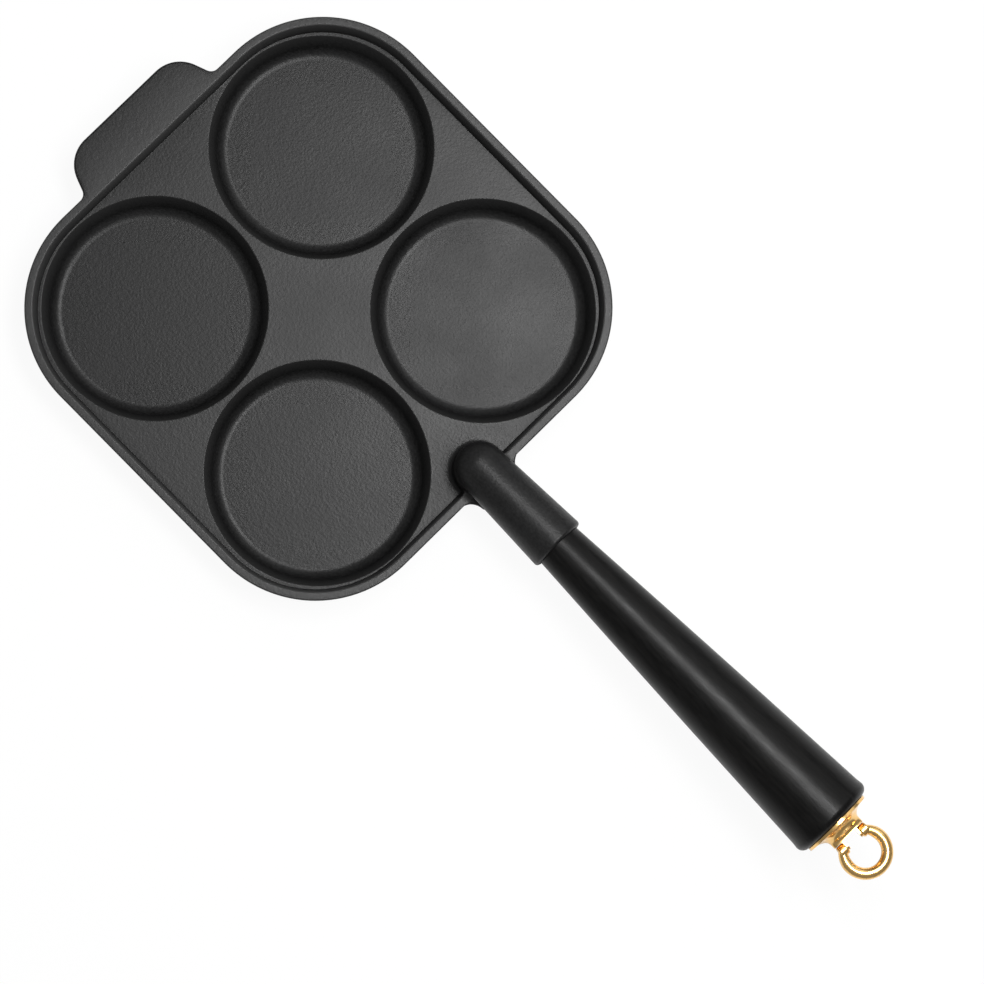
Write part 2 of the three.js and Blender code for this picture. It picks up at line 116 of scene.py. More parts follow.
class HeadSizes(PropertyGroup):
    """The wells, the deck between them, the rim and the tab"""

    spacing_along: length("Spacing along", 0.0994, "Between well centres, along the handle")
    spacing_across: length("Spacing across", 0.1002, "Between well centres, across the handle")
    mouth_radius: length("Mouth radius", 0.049, "Radius of a well at the deck")
    well_depth: length("Well depth", 0.012, "From the deck down to a well's floor")
    draft: angle("Draft", 20.0, "Slope of a well's wall from upright")
    floor_fillet: length("Floor fillet", 0.0055, "Fillet between a well's floor and wall")
    mouth_round: length("Mouth round", 0.0005, "Rounding of a well's mouth")
    floor_thickness: length("Floor thickness", 0.0045, "Iron below a well's floor")
    cup_wall: length("Cup wall", 0.0034, "Iron around a well's wall")
    cup_base_round: length("Cup base round", 0.005, "Rounding of a cup's base")
    cup_root_fillet: length("Cup root fillet", 0.0015, "Fillet where a cup leaves the deck")
    deck_thickness: length("Deck thickness", 0.0042, "Iron between the wells")
    corner_ledge: length("Corner ledge", 0.00015, "Deck between a well and the rim's corner")
    side_ledge: length("Side ledge", 0.0012, "Extra deck between a well and the rim's side")
    rim_height: length("Rim height", 0.0085, "From the deck up to the rim's top")
    rim_width: length("Rim width", 0.00365, "Width of the rim's flat top")
    rim_foot_fillet: length("Rim foot fillet", 0.0002, "Fillet between the deck and the rim")
    rim_inner_draft: length("Inner draft", 0.0016, "How far the rim's inner wall leans")
    rim_outer_draft: length("Outer draft", 0.001, "How far the rim's outer wall leans")
    lip_round: length("Lip round", 0.0007, "Rounding of the rim's top edges")
    skirt_round: length("Skirt round", 0.0016, "Rounding of the rim's lower edge")
    tab_reach: length("Tab reach", 0.0176, "How far the tab stands out of the rim")
    tab_root_width: length("Tab root width", 0.0765, "Width of the tab at the rim")
    tab_tip_width: length("Tab tip width", 0.0635, "Width of the tab at its tip")
    tab_thickness: length("Tab thickness", 0.0055, "Thickness of the tab")
    tab_corner: length("Tab corner", 0.015, "Radius of the tab's corners")
    tab_root_fillet: length("Tab root fillet", 0.004, "Fillet between the tab and the rim")
    tab_edge_round: length("Tab edge round", 0.001, "Rounding of the tab's edges")
    round_segments: IntProperty(
        name="Round segments", description="Facets around a well", default=128, min=24
    )


class ElbowSizes(PropertyGroup):
    """The elbow that rises out of the deck, and the handle's socket"""

    setback: length("Setback", 0.007, "From the rim's outer edge in to the elbow's centre")
    rise: length("Rise", 0.0175, "From the deck up to the elbow's centre")
    radius: length("Radius", 0.011, "Radius of the elbow")
    foot_fillet: length("Foot fillet", 0.0028, "Fillet between the elbow and the deck")
    outer_fillet: length("Outer fillet", 0.0052, "Fillet between the socket and the rim's outside")
    web_reach: length("Web reach", 0.020, "Length of the web below the socket, from the rim out")
    web_fillet: length("Web fillet", 0.007, "Fillet in plan between the rim's outside and the web")
    web_tip: length("Web tip", 0.004, "Half the width of the web's outer end")
    tilt: angle("Tilt", 4.0, "Rise of the handle from level")
    socket_reach: length("Socket reach", 0.0473, "From the elbow's centre to the socket's mouth")
    mouth_radius: length("Mouth radius", 0.0129, "Outer radius of the socket's mouth")
    mouth_round: length("Mouth round", 0.0016, "Rounding of the socket's mouth")
    bore_depth: length("Bore depth", 0.032, "Depth of the bore for the grip's tenon")
    rod_depth: length("Rod depth", 0.011, "Depth of the rod's hole behind the bore")
    rod_radius: length("Rod hole radius", 0.0033, "Radius of the rod's hole")


class GripSizes(PropertyGroup):
    """The turned wooden grip"""

    grip_length: length("Length", 0.1647, "From the socket's mouth to the butt")
    neck_radius: length("Neck radius", 0.0106, "Radius at the socket's mouth")
    butt_radius: length("Butt radius", 0.01935, "Radius at the butt")
    swell: length("Swell", 0.00025, "How far the middle swells beyond a plain taper")
    butt_round: length("Butt round", 0.0035, "Rounding of the butt's edge")
    tenon_length: length("Tenon length", 0.031, "Part of the taper inside the socket")
    tenon_chamfer: length("Tenon chamfer", 0.001, "Chamfer of the tenon's end")
    seat_gap: length("Seat gap", 0.0003, "Clearance of the seats")
    counterbore_radius: length("Counterbore radius", 0.0085, "Radius of the hole in the butt")
    counterbore_depth: length("Counterbore depth", 0.0161, "Depth of the hole in the butt")


class CapSizes(PropertyGroup):
    """The brass end cap and its lugs"""

    flange_radius: length("Flange radius", 0.016, "Radius of the flange on the butt")
    flange_edge: length("Flange edge", 0.0012, "Thickness of the flange's edge")
    height: length("Height", 0.005, "From the flange's seat to the cap's front")
    front_radius: length("Front radius", 0.0084, "Radius of the cap's front")
    hub_radius: length("Hub radius", 0.0082, "Radius of the hub in the counterbore")
    hub_length: length("Hub length", 0.009, "Length of the hub")
    front_wall: length("Front wall", 0.002, "Brass in front of the rod's end")
    bar_half_height: length("Bar half height", 0.0024, "Half of the height of the bar in front")
    bar_reach: length("Bar reach", 0.00272, "How far the bar stands out of the cap's front")
    bar_half_width: length("Bar half width", 0.0083, "Half of the length of the bar")
    lug_thickness: length("Lug thickness", 0.0009, "Thickness of a lug's ear")
    lug_radius: length("Lug radius", 0.0017, "Radius of a lug's ear")
    edge_round: length("Edge round", 0.0003, "Rounding of the brass edges")


class LoopSizes(PropertyGroup):
    """The brass hanging loop"""

    radius: length("Radius", 0.00929, "Radius of the ring, to the middle of its wire")
    wire_radius: length("Wire radius", 0.00255, "Radius of the wire")
    end_angle: angle("End angle", 42.0, "Where the ring ends, from the side of the cap")
    pin_radius: length("Pin radius", 0.0009, "Radius of the pins in the lugs")
    pin_root: length("Pin root", 0.0012, "How far a pin runs into the wire")
    swing_gap: length("Swing gap", 0.0002, "Clearance of the pins and of the ring's ends")


class Finishes(PropertyGroup):
    """Colours of the pan's materials"""

    iron: tint("Iron", (0.008, 0.008, 0.0081), "Seasoned cast iron")
    # Lighter iron on the rim and the well mouths: partly worn seasoning, partly a painted highlight
    # along those edges
    worn_iron_and_highlight: tint("Worn and highlit iron", (0.05, 0.05, 0.05), "Iron where edges are rubbed")
    wood: tint("Wood", (0.0014, 0.0014, 0.0014), "Black-stained wood")
    wood_grain: tint("Wood grain", (0.006, 0.0057, 0.0054), "Wood where the stain is thin")
    brass: tint("Brass", (0.86, 0.55, 0.21), "Polished brass")
    brass_dull: tint("Dull brass", (0.66, 0.40, 0.14), "Brass in its tarnished patches")
    steel: tint("Steel", (0.45, 0.45, 0.46), "Plated steel fasteners")
    floor: tint("Floor", (0.9, 0.9, 0.9), "Pale studio floor")


class StageSettings(PropertyGroup):
    """The camera"""

    camera_height: length("Camera height", 1.6, "Height of the camera above the floor")
    camera_along: length("Camera along", 0.1305, "Camera, from the head's centre to the handle")
    camera_lean: angle("Camera lean", 4.98, "How far the camera stands to the pan's right side")
    camera_roll: angle("Camera roll", 0.27, "Turn of the camera about its own axis")
    image_scale: length("Image scale", 0.4211, "Width that the image covers at the rim")
    aim_along: length("Aim along", 0.1083, "Image centre, from the head's centre to the handle")
    aim_across: FloatProperty(
        name="Aim across", description="Image centre, from the handle's line", default=-0.0032,
        unit="LENGTH", precision=4,
    )


class EggPan(PropertyGroup):
    """Everything that a user may set"""

    head: PointerProperty(type=HeadSizes, name="Head", description="Sizes of the head")
    elbow: PointerProperty(type=ElbowSizes, name="Elbow", description="Sizes of the elbow")
    grip: PointerProperty(type=GripSizes, name="Grip", description="Sizes of the grip")
    cap: PointerProperty(type=CapSizes, name="Cap", description="Sizes of the end cap")
    loop: PointerProperty(type=LoopSizes, name="Loop", description="Sizes of the loop")
    finishes: PointerProperty(type=Finishes, name="Finishes", description="Colours")
    stage: PointerProperty(type=StageSettings, name="Stage", description="Camera")


def layout(pan):
    """Places that follow from the sizes and from the frame."""
    head, elbow, grip, cap, loop = pan.head, pan.elbow, pan.grip, pan.cap, pan.loop
    at = SimpleNamespace()
    at.deck_z = head.floor_thickness + head.well_depth
    at.underside_z = at.deck_z - head.deck_thickness
    at.rim_z = at.deck_z + head.rim_height
    at.rim_foot = head.rim_width + head.rim_inner_draft + head.rim_foot_fillet
    at.rim_lean = head.rim_outer_draft / (at.rim_z - at.underside_z - head.skirt_round)
    at.corner_radius = head.mouth_radius + head.corner_ledge + at.rim_foot
    at.half_length = head.spacing_along / 2 + at.corner_radius
    at.head_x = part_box("pan_casting")[0][0] + head.tab_reach + at.half_length
    at.head = Matrix.Translation((at.head_x, 0, 0))
    at.elbow_x = at.half_length - elbow.setback
    at.elbow_z = at.deck_z + elbow.rise
    at.handle = (
        Matrix.Translation((at.head_x + at.elbow_x, 0, at.elbow_z))
        @ Matrix.Rotation(-elbow.tilt, 4, "Y")
    )
    at.turned_along = at.handle @ Matrix.Rotation(math.pi / 2, 4, "Y")
    at.butt = elbow.socket_reach + grip.grip_length
    at.taper = (grip.butt_radius - grip.neck_radius) / grip.grip_length
    at.cap_seat = at.butt + grip.seat_gap
    at.cap_front = at.cap_seat + cap.height
    swing = frame["record"]["behaviour"]["joints"][0]["pos_m"]
    at.pivot = (at.handle.inverted() @ Vector(swing)).x
    at.bar_front = at.cap_front + cap.bar_reach
    at.loop_centre = at.pivot + loop.radius * math.cos(loop.end_angle)
    ring_inside = (loop.radius - loop.wire_radius) * math.sin(loop.end_angle)
    at.lug_outer = ring_inside - loop.swing_gap
    at.lug_inner = at.lug_outer - cap.lug_thickness
    return at


# Outlines and profiles


def arc(x, y, radius, start, end, steps):
    """Points on an arc between two angles in degrees."""
    angles = [math.radians(start + (end - start) * i / steps) for i in range(steps + 1)]
    return [(x + radius * math.cos(a), y + radius * math.sin(a)) for a in angles]


def rounded_corner(before, corner, after, radius, steps):
    """Points on the arc that rounds one corner of a path."""
    corner = Vector(corner)
    to_before = (Vector(before) - corner).normalized()
    to_after = (Vector(after) - corner).normalized()
    inward = to_before + to_after
    if radius < NO_RADIUS or inward.length < STRAIGHT:
        return [tuple(corner)] * (steps + 1)
    half = to_before.angle(to_after) / 2
    centre = corner + inward.normalized() * (radius / math.sin(half))
    start = corner + to_before * (radius / math.tan(half)) - centre
    turn = start.angle_signed(corner + to_after * (radius / math.tan(half)) - centre)
    return [
        tuple(centre + Matrix.Rotation(-turn * i / steps, 2) @ start) for i in range(steps + 1)
    ]


def rounded_path(corners, steps):
    """An open path of (x, y, radius) with each inner corner rounded."""
    points = [corner[:2] for corner in corners]
    path = [points[0]]
    for i in range(1, len(corners) - 1):
        path += rounded_corner(points[i - 1], points[i], points[i + 1], corners[i][2], steps)
    return path + [points[-1]]


# Geometry Nodes


def new_tree(name, inputs):
    """An empty node tree with its interface, and the nodes at its ends."""
    tree = bpy.data.node_groups.new(name, "GeometryNodeTree")
    tree.is_modifier = True
    for label, kind in [("Geometry", "NodeSocketGeometry"), *inputs]:
        tree.interface.new_socket(label, in_out="INPUT", socket_type=kind)
    tree.interface.new_socket("Geometry", in_out="OUTPUT", socket_type="NodeSocketGeometry")
    given = tree.nodes.new("NodeGroupInput")
    result = tree.nodes.new("NodeGroupOutput")
    return tree, given, result


def set_inputs(tree, node, values):
    """Links or sets a node's inputs by name or place."""
    for name, value in values.items():
        if isinstance(value, bpy.types.NodeSocket):
            tree.links.new(value, node.inputs[name])
        else:
            node.inputs[name].default_value = value


def add_node(tree, kind, values=None, **settings):
    """A node with its settings and its inputs."""
    node = tree.nodes.new(kind)
    for name, value in settings.items():
        setattr(node, name, value)
    set_inputs(tree, node, values or {})
    return node


def finish_tree(tree, given, result, geometry):
    """Realizes what the tree made and gives it its material."""
    real = add_node(tree, "GeometryNodeRealizeInstances", {"Geometry": geometry})
    painted = add_node(
        tree, "GeometryNodeSetMaterial",
        {"Geometry": real.outputs["Geometry"], "Material": given.outputs["Material"]},
    )
    tree.links.new(painted.outputs["Geometry"], result.inputs["Geometry"])
    return tree


def turned_nodes(tree, given):
    """Sweeps a profile, drawn as radius and height, around the upright axis."""
    profile = add_node(tree, "GeometryNodeMeshToCurve", {"Mesh": given.outputs["Geometry"]})
    around = add_node(
        tree, "GeometryNodeCurvePrimitiveCircle",
        {"Resolution": given.outputs["Segments"], "Radius": NO_RADIUS},
    )
    swept = add_node(
        tree, "GeometryNodeCurveToMesh",
        {"Curve": around.outputs["Curve"], "Profile Curve": profile.outputs["Curve"]},
    )
    closed = add_node(
        tree, "GeometryNodeMergeByDistance",
        {"Geometry": swept.outputs["Mesh"], "Distance": SAME_POINT},
    )
    return add_node(tree, "GeometryNodeFlipFaces", {"Mesh": closed.outputs["Geometry"]})


def turned_tree():
    """A piece turned on a lathe."""
    tree, given, result = new_tree(
        "Turned piece", [("Segments", "NodeSocketInt"), ("Material", "NodeSocketMaterial")]
    )
    return finish_tree(tree, given, result, turned_nodes(tree, given).outputs["Mesh"])


def wells_tree():
    """One turned form at each of the four well centres."""
    tree, given, result = new_tree("Forms at the wells", [
        ("Segments", "NodeSocketInt"),
        ("Spacing along", "NodeSocketFloat"),
        ("Spacing across", "NodeSocketFloat"),
        ("Material", "NodeSocketMaterial"),
    ])
    centres = add_node(tree, "GeometryNodeMeshGrid", {
        "Size X": given.outputs["Spacing along"], "Size Y": given.outputs["Spacing across"],
        "Vertices X": 2, "Vertices Y": 2,
    })
    placed = add_node(tree, "GeometryNodeInstanceOnPoints", {
        "Points": centres.outputs["Mesh"], "Instance": turned_nodes(tree, given).outputs["Mesh"],
    })
    return finish_tree(tree, given, result, placed.outputs["Instances"])


def loop_tree():
    """A ring of round wire that is open towards the cap, with a knuckle and a pin at each end.

    The wire thins towards its ends. The tree's geometry is one knuckle.
    """
    end_share, end_scale = 0.16, 0.8
    sizes = (
        "Ring radius", "Wire radius", "Start angle", "Sweep angle", "Pin radius", "Pin length",
    )
    tree, given, result = new_tree("Hanging loop", [
        *((label, "NodeSocketFloat") for label in sizes),
        *((label, "NodeSocketVector") for label in ("Pin places", "Knuckle places")),
        ("Material", "NodeSocketMaterial"),
    ])
    ring = add_node(tree, "GeometryNodeCurveArc", {
        "Resolution": 129, "Radius": given.outputs["Ring radius"],
        "Start Angle": given.outputs["Start angle"], "Sweep Angle": given.outputs["Sweep angle"],
    })
    section = add_node(
        tree, "GeometryNodeCurvePrimitiveCircle",
        {"Resolution": 48, "Radius": given.outputs["Wire radius"]},
    )
    place = add_node(tree, "GeometryNodeSplineParameter")
    half = add_node(
        tree, "ShaderNodeMath", {0: place.outputs["Factor"], 1: 0.5}, operation="PINGPONG"
    )
    thinned = add_node(tree, "ShaderNodeMapRange", {
        "Value": half.outputs["Value"], "From Min": 0.0, "From Max": end_share,
        "To Min": end_scale, "To Max": 1.0,
    }, interpolation_type="SMOOTHSTEP")
    wire = add_node(tree, "GeometryNodeCurveToMesh", {
        "Curve": ring.outputs["Curve"], "Profile Curve": section.outputs["Curve"],
        "Scale": thinned.outputs["Result"], "Fill Caps": True,
    })
    pin = add_node(tree, "GeometryNodeMeshCylinder", {
        "Vertices": 48, "Side Segments": 1, "Radius": given.outputs["Pin radius"],
        "Depth": given.outputs["Pin length"],
    })
    laid_pin = add_node(
        tree, "GeometryNodeTransform",
        {"Geometry": pin.outputs["Mesh"], "Rotation": (math.pi / 2, 0, 0)},
    )
    joined = add_node(tree, "GeometryNodeMeshBoolean", operation="UNION", solver="EXACT")
    tree.links.new(wire.outputs["Mesh"], joined.inputs["Mesh 2"])
    for shape, places in (
        (laid_pin.outputs["Geometry"], given.outputs["Pin places"]),
        (given.outputs["Geometry"], given.outputs["Knuckle places"]),
    ):
        for side in (1.0, -1.0):
            place = add_node(
                tree, "ShaderNodeVectorMath", {0: places, 1: (1.0, side, 1.0)}, operation="MULTIPLY"
            )
            laid = add_node(
                tree, "GeometryNodeTransform",
                {"Geometry": shape, "Translation": place.outputs["Vector"]},
            )
            tree.links.new(laid.outputs["Geometry"], joined.inputs["Mesh 2"])
    return finish_tree(tree, given, result, joined.outputs["Mesh"])


# Objects and meshes


def new_object(name, data):
    """A new object in the scene."""
    made = bpy.data.objects.new(name, data)
    bpy.context.scene.collection.objects.link(made)
    return made


def mesh_from_tree(name, tree, source, values):
    """The plain mesh that a tree makes from a source mesh and named values."""
    maker = new_object(name, source)
    nodes = maker.modifiers.new("Nodes", "NODES")
    nodes.node_group = tree
    for item in tree.interface.items_tree:
        if item.item_type == "SOCKET" and item.in_out == "INPUT" and item.name in values:
            nodes[item.identifier] = values[item.name]
    return evaluated_mesh(maker, name)


def evaluated_mesh(maker, name):
    """The finished mesh of an object with modifiers, which is then removed."""
    depsgraph = bpy.context.evaluated_depsgraph_get()
    mesh = bpy.data.meshes.new_from_object(maker.evaluated_get(depsgraph))
    source = maker.data
    bpy.data.objects.remove(maker)
    if source.users == 0:
        bpy.data.meshes.remove(source)
    if not mesh.polygons:
        raise RuntimeError(f"{name} came out empty")
    mesh.name = name
    return mesh


def profile_mesh(name, profile):
    """A profile of (radius, height) as a chain of edges for the turning trees."""
    mesh = bpy.data.meshes.new(name)
    chain = [(i, i + 1) for i in range(len(profile) - 1)]
    mesh.from_pydata([(radius, -height, 0) for radius, height in profile], chain, [])
    return mesh


def turned(name, profile, segments, material=None):
    """A mesh turned about +Z from a profile of (radius, height)."""
    tree = bpy.data.node_groups.get("Turned piece") or turned_tree()
    values = {"Segments": segments, "Material": material}
    return mesh_from_tree(name, tree, profile_mesh(name, profile), values)


def finished(bm, name):
    """A new mesh from a closed bmesh, with its faces turned outward."""
    bmesh.ops.recalc_face_normals(bm, faces=bm.faces)
    mesh = bpy.data.meshes.new(name)
    bm.to_mesh(mesh)
    bm.free()
    return mesh


def lofted(name, places):
    """A closed mesh through rings of points, with a face over each end."""
    bm = bmesh.new()
    rings = [[bm.verts.new(place) for place in ring] for ring in places]
    for ring, following in zip(rings, rings[1:]):
        for i in range(len(ring)):
            bm.faces.new((ring[i - 1], ring[i], following[i], following[i - 1]))
    bm.faces.new(rings[0])
    bm.faces.new(rings[-1])
    return finished(bm, name)


def paint(mesh, material):
    """Gives the mesh one material in place of those it had."""
    mesh.materials.clear()
    mesh.materials.append(material)


# Pieces


def add_piece(name, mesh, body, node, sharp=35.0):
    """A finished mesh becomes a piece that stands for a node of the frame."""
    mesh.shade_smooth()
    mesh.set_sharp_from_angle(angle=math.radians(sharp))
    maker = new_object(name, mesh)
    weighted = maker.modifiers.new("Flat faces", "WEIGHTED_NORMAL")
    weighted.keep_sharp = True
    weighted.weight = 90
    piece = new_object(name, evaluated_mesh(maker, name))
    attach(piece, body)
    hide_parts(node)


def combined(name, meshes, operation, round_width=0.0):
    """The first mesh joined with, or cut by, the others, with its new edges rounded."""
    maker = new_object(name, meshes[0])
    tools = bpy.data.collections.new(f"{name} tools")
    bpy.context.scene.collection.children.link(tools)
    for mesh in meshes[1:]:
        tools.objects.link(bpy.data.objects.new(mesh.name, mesh))
    boolean = maker.modifiers.new("Join", "BOOLEAN")
    boolean.operation = operation
    boolean.solver = "EXACT"
    boolean.operand_type = "COLLECTION"
    boolean.collection = tools
    if round_width:
        bevel = maker.modifiers.new("Edges", "BEVEL")
        bevel.width = round_width
        bevel.segments = 3
        bevel.limit_method = "ANGLE"
        bevel.angle_limit = math.radians(40)
    mesh = evaluated_mesh(maker, name)
    bm = bmesh.new()
    bm.from_mesh(mesh)
    bmesh.ops.dissolve_degenerate(bm, edges=bm.edges, dist=SLIVER)
    bm.to_mesh(mesh)
    bm.free()
    for tool in list(tools.objects):
        data = tool.data
        bpy.data.objects.remove(tool)
        bpy.data.meshes.remove(data)
    bpy.data.collections.remove(tools)
    return mesh


# The casting's head


SECTION_STEPS = 6  # facets of each rounded edge of the rim
CORNER_STEPS = 48  # facets around each of the head's corners
TAB_EDGE_RUN = 0.002  # reach at which the tab's edge stands upright
TAB_LIP_RUN = 0.004  # reach at which the tab's upper edge has its full rounding
TAB_UNDER_FILLET = 0.002  # largest fillet between the rim and the tab's underside
TAB_UNDER_ROUND = 0.3  # largest rounding of the tab's lower edge, as a share of its underside
ELBOW_STEP = 0.00075  # spacing of the rim's points beside the elbow
ELBOW_ROWS = 38  # points of the rim to each side of the elbow's middle
MILLIMETRES = 1000  # in a metre: the triangulation needs numbers of that order
TRIANGLES_INSIDE = 1  # the triangulation's code for faces inside its outer chain
CHAIN_GAP = 1e-5  # in millimetres: points nearer than this are one


def drafted(head, at, z, outward):
    """Radius at a height of the face that stands a distance outside a well's wall."""
    top_x = head.mouth_radius - head.mouth_round * math.cos(head.draft)
    top_z = at.deck_z - head.mouth_round * (1 - math.sin(head.draft))
    return top_x - (top_z - z) * math.tan(head.draft) + outward / math.cos(head.draft)


def floor_to_wall(head, at, floor_z, rounding, outward, steps):
    """The arc between a level floor and a drafted wall."""
    x = drafted(head, at, floor_z + rounding, outward - rounding)
    return arc(x, floor_z + rounding, rounding, -90, -math.degrees(head.draft), steps)


def wall_to_level(head, x, level_z, rounding, steps):
    """The arc between a drafted wall and the level face at its top."""
    start = 180 - math.degrees(head.draft)
    return arc(x, level_z - rounding, rounding, start, 90, steps)


def well_profile(head, at):
    """A well's inside, from the middle of its floor to its mouth."""
    floor = [(0, head.floor_thickness)]
    fillet = floor_to_wall(head, at, head.floor_thickness, head.floor_fillet, 0, 12)
    mouth = wall_to_level(head, head.mouth_radius, at.deck_z, head.mouth_round, 8)
    return floor + fillet + mouth


def cup_profile(head, at):
    """A cup's outside, from the middle of its base to the underside of the deck."""
    base = [(0, 0)]
    rounding = floor_to_wall(head, at, 0, head.cup_base_round, head.cup_wall, 8)
    fillet = head.cup_root_fillet
    foot = drafted(head, at, at.underside_z - fillet, head.cup_wall + fillet)
    return base + rounding + wall_to_level(head, foot, at.underside_z, fillet, 6)


def rim_section(head, at, tab=0.0):
    """The rim's section as (inset, height) from the underside, over its top and down to the deck.

    Where the tab stands out, the section runs out under it and back over its top.
    """
    tab_z = at.rim_z - head.tab_thickness
    wall = (at.rim_z - tab_z) * at.rim_lean
    edge = wall - tab - wall * min(1.0, tab / TAB_EDGE_RUN)
    under = wall - edge
    under_fillet = min(TAB_UNDER_FILLET, under / 2)
    under_round = min(head.tab_edge_round, TAB_UNDER_ROUND * under)
    lip = head.lip_round + (head.tab_edge_round - head.lip_round) * min(1.0, tab / TAB_LIP_RUN)
    return rounded_path([
        (at.rim_foot, at.underside_z, 0),
        (head.rim_outer_draft, at.underside_z, head.skirt_round),
        (wall, tab_z, under_fillet),
        (edge, tab_z, under_round),
        (-tab, at.rim_z, lip),
        (head.rim_width, at.rim_z, head.lip_round),
        (head.rim_width + head.rim_inner_draft, at.deck_z, head.rim_foot_fillet),
        (at.rim_foot, at.deck_z, 0),
    ], SECTION_STEPS)[1:]


def tab_outline(head):
    """Half of the tab's plan as (distance across, reach), from the rim to the middle of the tip."""
    root = head.tab_root_width / 2
    return rounded_path([
        (root + 2 * head.tab_root_fillet, 0, 0),
        (root, 0, head.tab_root_fillet),
        (head.tab_tip_width / 2, head.tab_reach, head.tab_corner),
        (0, head.tab_reach, 0),
    ], 14)


def rim_rings(head, at):
    """The rim's section at each place around the head, as points in the head's frame."""
    half_along = head.spacing_along / 2
    half_across = head.spacing_across / 2 + head.side_ledge
    plain = rim_section(head, at)
    edge_start, edge_end = 2 * (SECTION_STEPS + 1), 4 * (SECTION_STEPS + 1)
    rings = []

    def corner(side_x, side_y, start):
        """A quarter turn around one of the head's corners, from an angle in degrees."""
        centre = Vector((side_x * half_along, side_y * half_across))
        for i in range(CORNER_STEPS + 1):
            turn = math.radians(start + 90 * i / CORNER_STEPS)
            out = Vector((math.cos(turn), math.sin(turn)))
            rings.append([
                (*(centre + out * (at.corner_radius - inset)), z) for inset, z in plain
            ])

    corner(1, 1, 0)
    corner(-1, 1, 90)
    half = tab_outline(head)
    whole = half + [(-across, reach) for across, reach in reversed(half[:-1])]
    for i, (across, reach) in enumerate(whole):
        before = Vector(whole[max(i - 1, 0)])
        after = Vector(whole[min(i + 1, len(whole) - 1)])
        along = (after - before).normalized()
        normal = Vector((along.y, -along.x))
        normal *= -1 if normal.y < 0 else 1
        ring = []
        for k, (inset, z) in enumerate(rim_section(head, at, reach)):
            on_edge = edge_start <= k < edge_end
            offset = inset + reach if on_edge else 0
            out = reach - offset * normal.y if on_edge else -inset
            ring.append((-at.half_length - out, across - offset * normal.x, z))
        rings.append(ring)
    corner(-1, -1, 180)
    corner(1, -1, 270)
    for i in range(-ELBOW_ROWS, ELBOW_ROWS + 1):
        rings.append([(at.half_length - inset, ELBOW_STEP * i, z) for inset, z in plain])
    return rings


def fill_level(bm, z, centres, radius, extra=()):
    """Fills the level face between the open edges at one height, around its round holes."""
    edges = [
        e for e in bm.edges
        if e.is_boundary and all(abs(v.co.z - z) < SAME_POINT for v in e.verts)
    ]
    verts = list(dict.fromkeys(v for e in edges for v in e.verts))
    place = {v: i for i, v in enumerate(verts)}
    verts += [bm.verts.new((x, y, z)) for x, y in extra]
    points = [Vector((v.co.x * MILLIMETRES, v.co.y * MILLIMETRES)) for v in verts]
    chains = [(place[e.verts[0]], place[e.verts[1]]) for e in edges]
    out, _, faces, origins, _, _ = delaunay_2d_cdt(
        points, chains, [], TRIANGLES_INSIDE, CHAIN_GAP
    )
    for face in faces:
        middle = sum((out[i] for i in face), Vector((0, 0))) / (MILLIMETRES * len(face))
        if all((middle - centre).length > radius for centre in centres):
            bm.faces.new([verts[origins[i][0]] for i in face])


def deck_points(head, at):
    """Points that make the deck finer around the elbow."""
    step, rows, half_columns = 0.001, 20, 20
    points = []
    centres = [(head.spacing_along / 2, side * head.spacing_across / 2) for side in (1, -1)]
    for i in range(rows):
        for j in range(-half_columns, half_columns + 1):
            x = at.half_length - at.rim_foot - step * (i + 1)
            y = step * j
            if all(math.hypot(x - a, y - b) > head.mouth_radius + step for a, b in centres):
                points.append((x, y))
    return points


def add_wells(bm, head, at):
    """The four wells, each turned about its own centre."""
    mesh = mesh_from_tree("well", wells_tree(), profile_mesh("well", well_profile(head, at)), {
        "Segments": head.round_segments,
        "Spacing along": head.spacing_along,
        "Spacing across": head.spacing_across,
    })
    bm.from_mesh(mesh)
    bpy.data.meshes.remove(mesh)


def add_cups(bm, head, at):
    """The cups under the wells, each cut off where it runs into its neighbours."""
    cup = turned("cup", cup_profile(head, at), head.round_segments)
    cup.transform(Matrix.Translation((head.spacing_along / 2, head.spacing_across / 2, 0)))
    quarter = bmesh.new()
    quarter.from_mesh(cup)
    for normal in ((1, 0, 0), (0, 1, 0)):
        bmesh.ops.bisect_plane(
            quarter, geom=[*quarter.verts, *quarter.edges, *quarter.faces],
            plane_co=(0, 0, 0), plane_no=normal, clear_inner=True,
        )
    quarter.to_mesh(cup)
    quarter.free()
    for mirror in ((1, 1, 1), (-1, 1, 1), (1, -1, 1), (-1, 1, 1)):
        cup.transform(Matrix.Diagonal((*mirror, 1)))
        bm.from_mesh(cup)
    bpy.data.meshes.remove(cup)


def head_mesh(head, at):
    """Wells, deck, rim and tab as one closed mesh in the head's frame."""
    bm = bmesh.new()
    add_wells(bm, head, at)
    add_cups(bm, head, at)
    rings = [[bm.verts.new(point) for point in ring] for ring in rim_rings(head, at)]
    for ring, following in zip(rings, rings[1:] + rings[:1]):
        for i in range(len(ring) - 1):
            bm.faces.new((ring[i], following[i], following[i + 1], ring[i + 1]))
    bmesh.ops.remove_doubles(bm, verts=bm.verts, dist=2 * SAME_POINT)
    bmesh.ops.dissolve_degenerate(bm, edges=bm.edges, dist=SAME_POINT)
    centres = [
        Vector((x * head.spacing_along / 2, y * head.spacing_across / 2))
        for x in (1, -1) for y in (1, -1)
    ]
    fill_level(bm, at.underside_z, centres, cup_profile(head, at)[-1][0])
    fill_level(bm, at.deck_z, centres, head.mouth_radius, deck_points(head, at))
    open_edges = sum(not e.is_manifold for e in bm.edges)
    if open_edges:
        raise RuntimeError(f"the head has {open_edges} open edges")
    return finished(bm, "head")


# The elbow, and the soft cast fillets around it


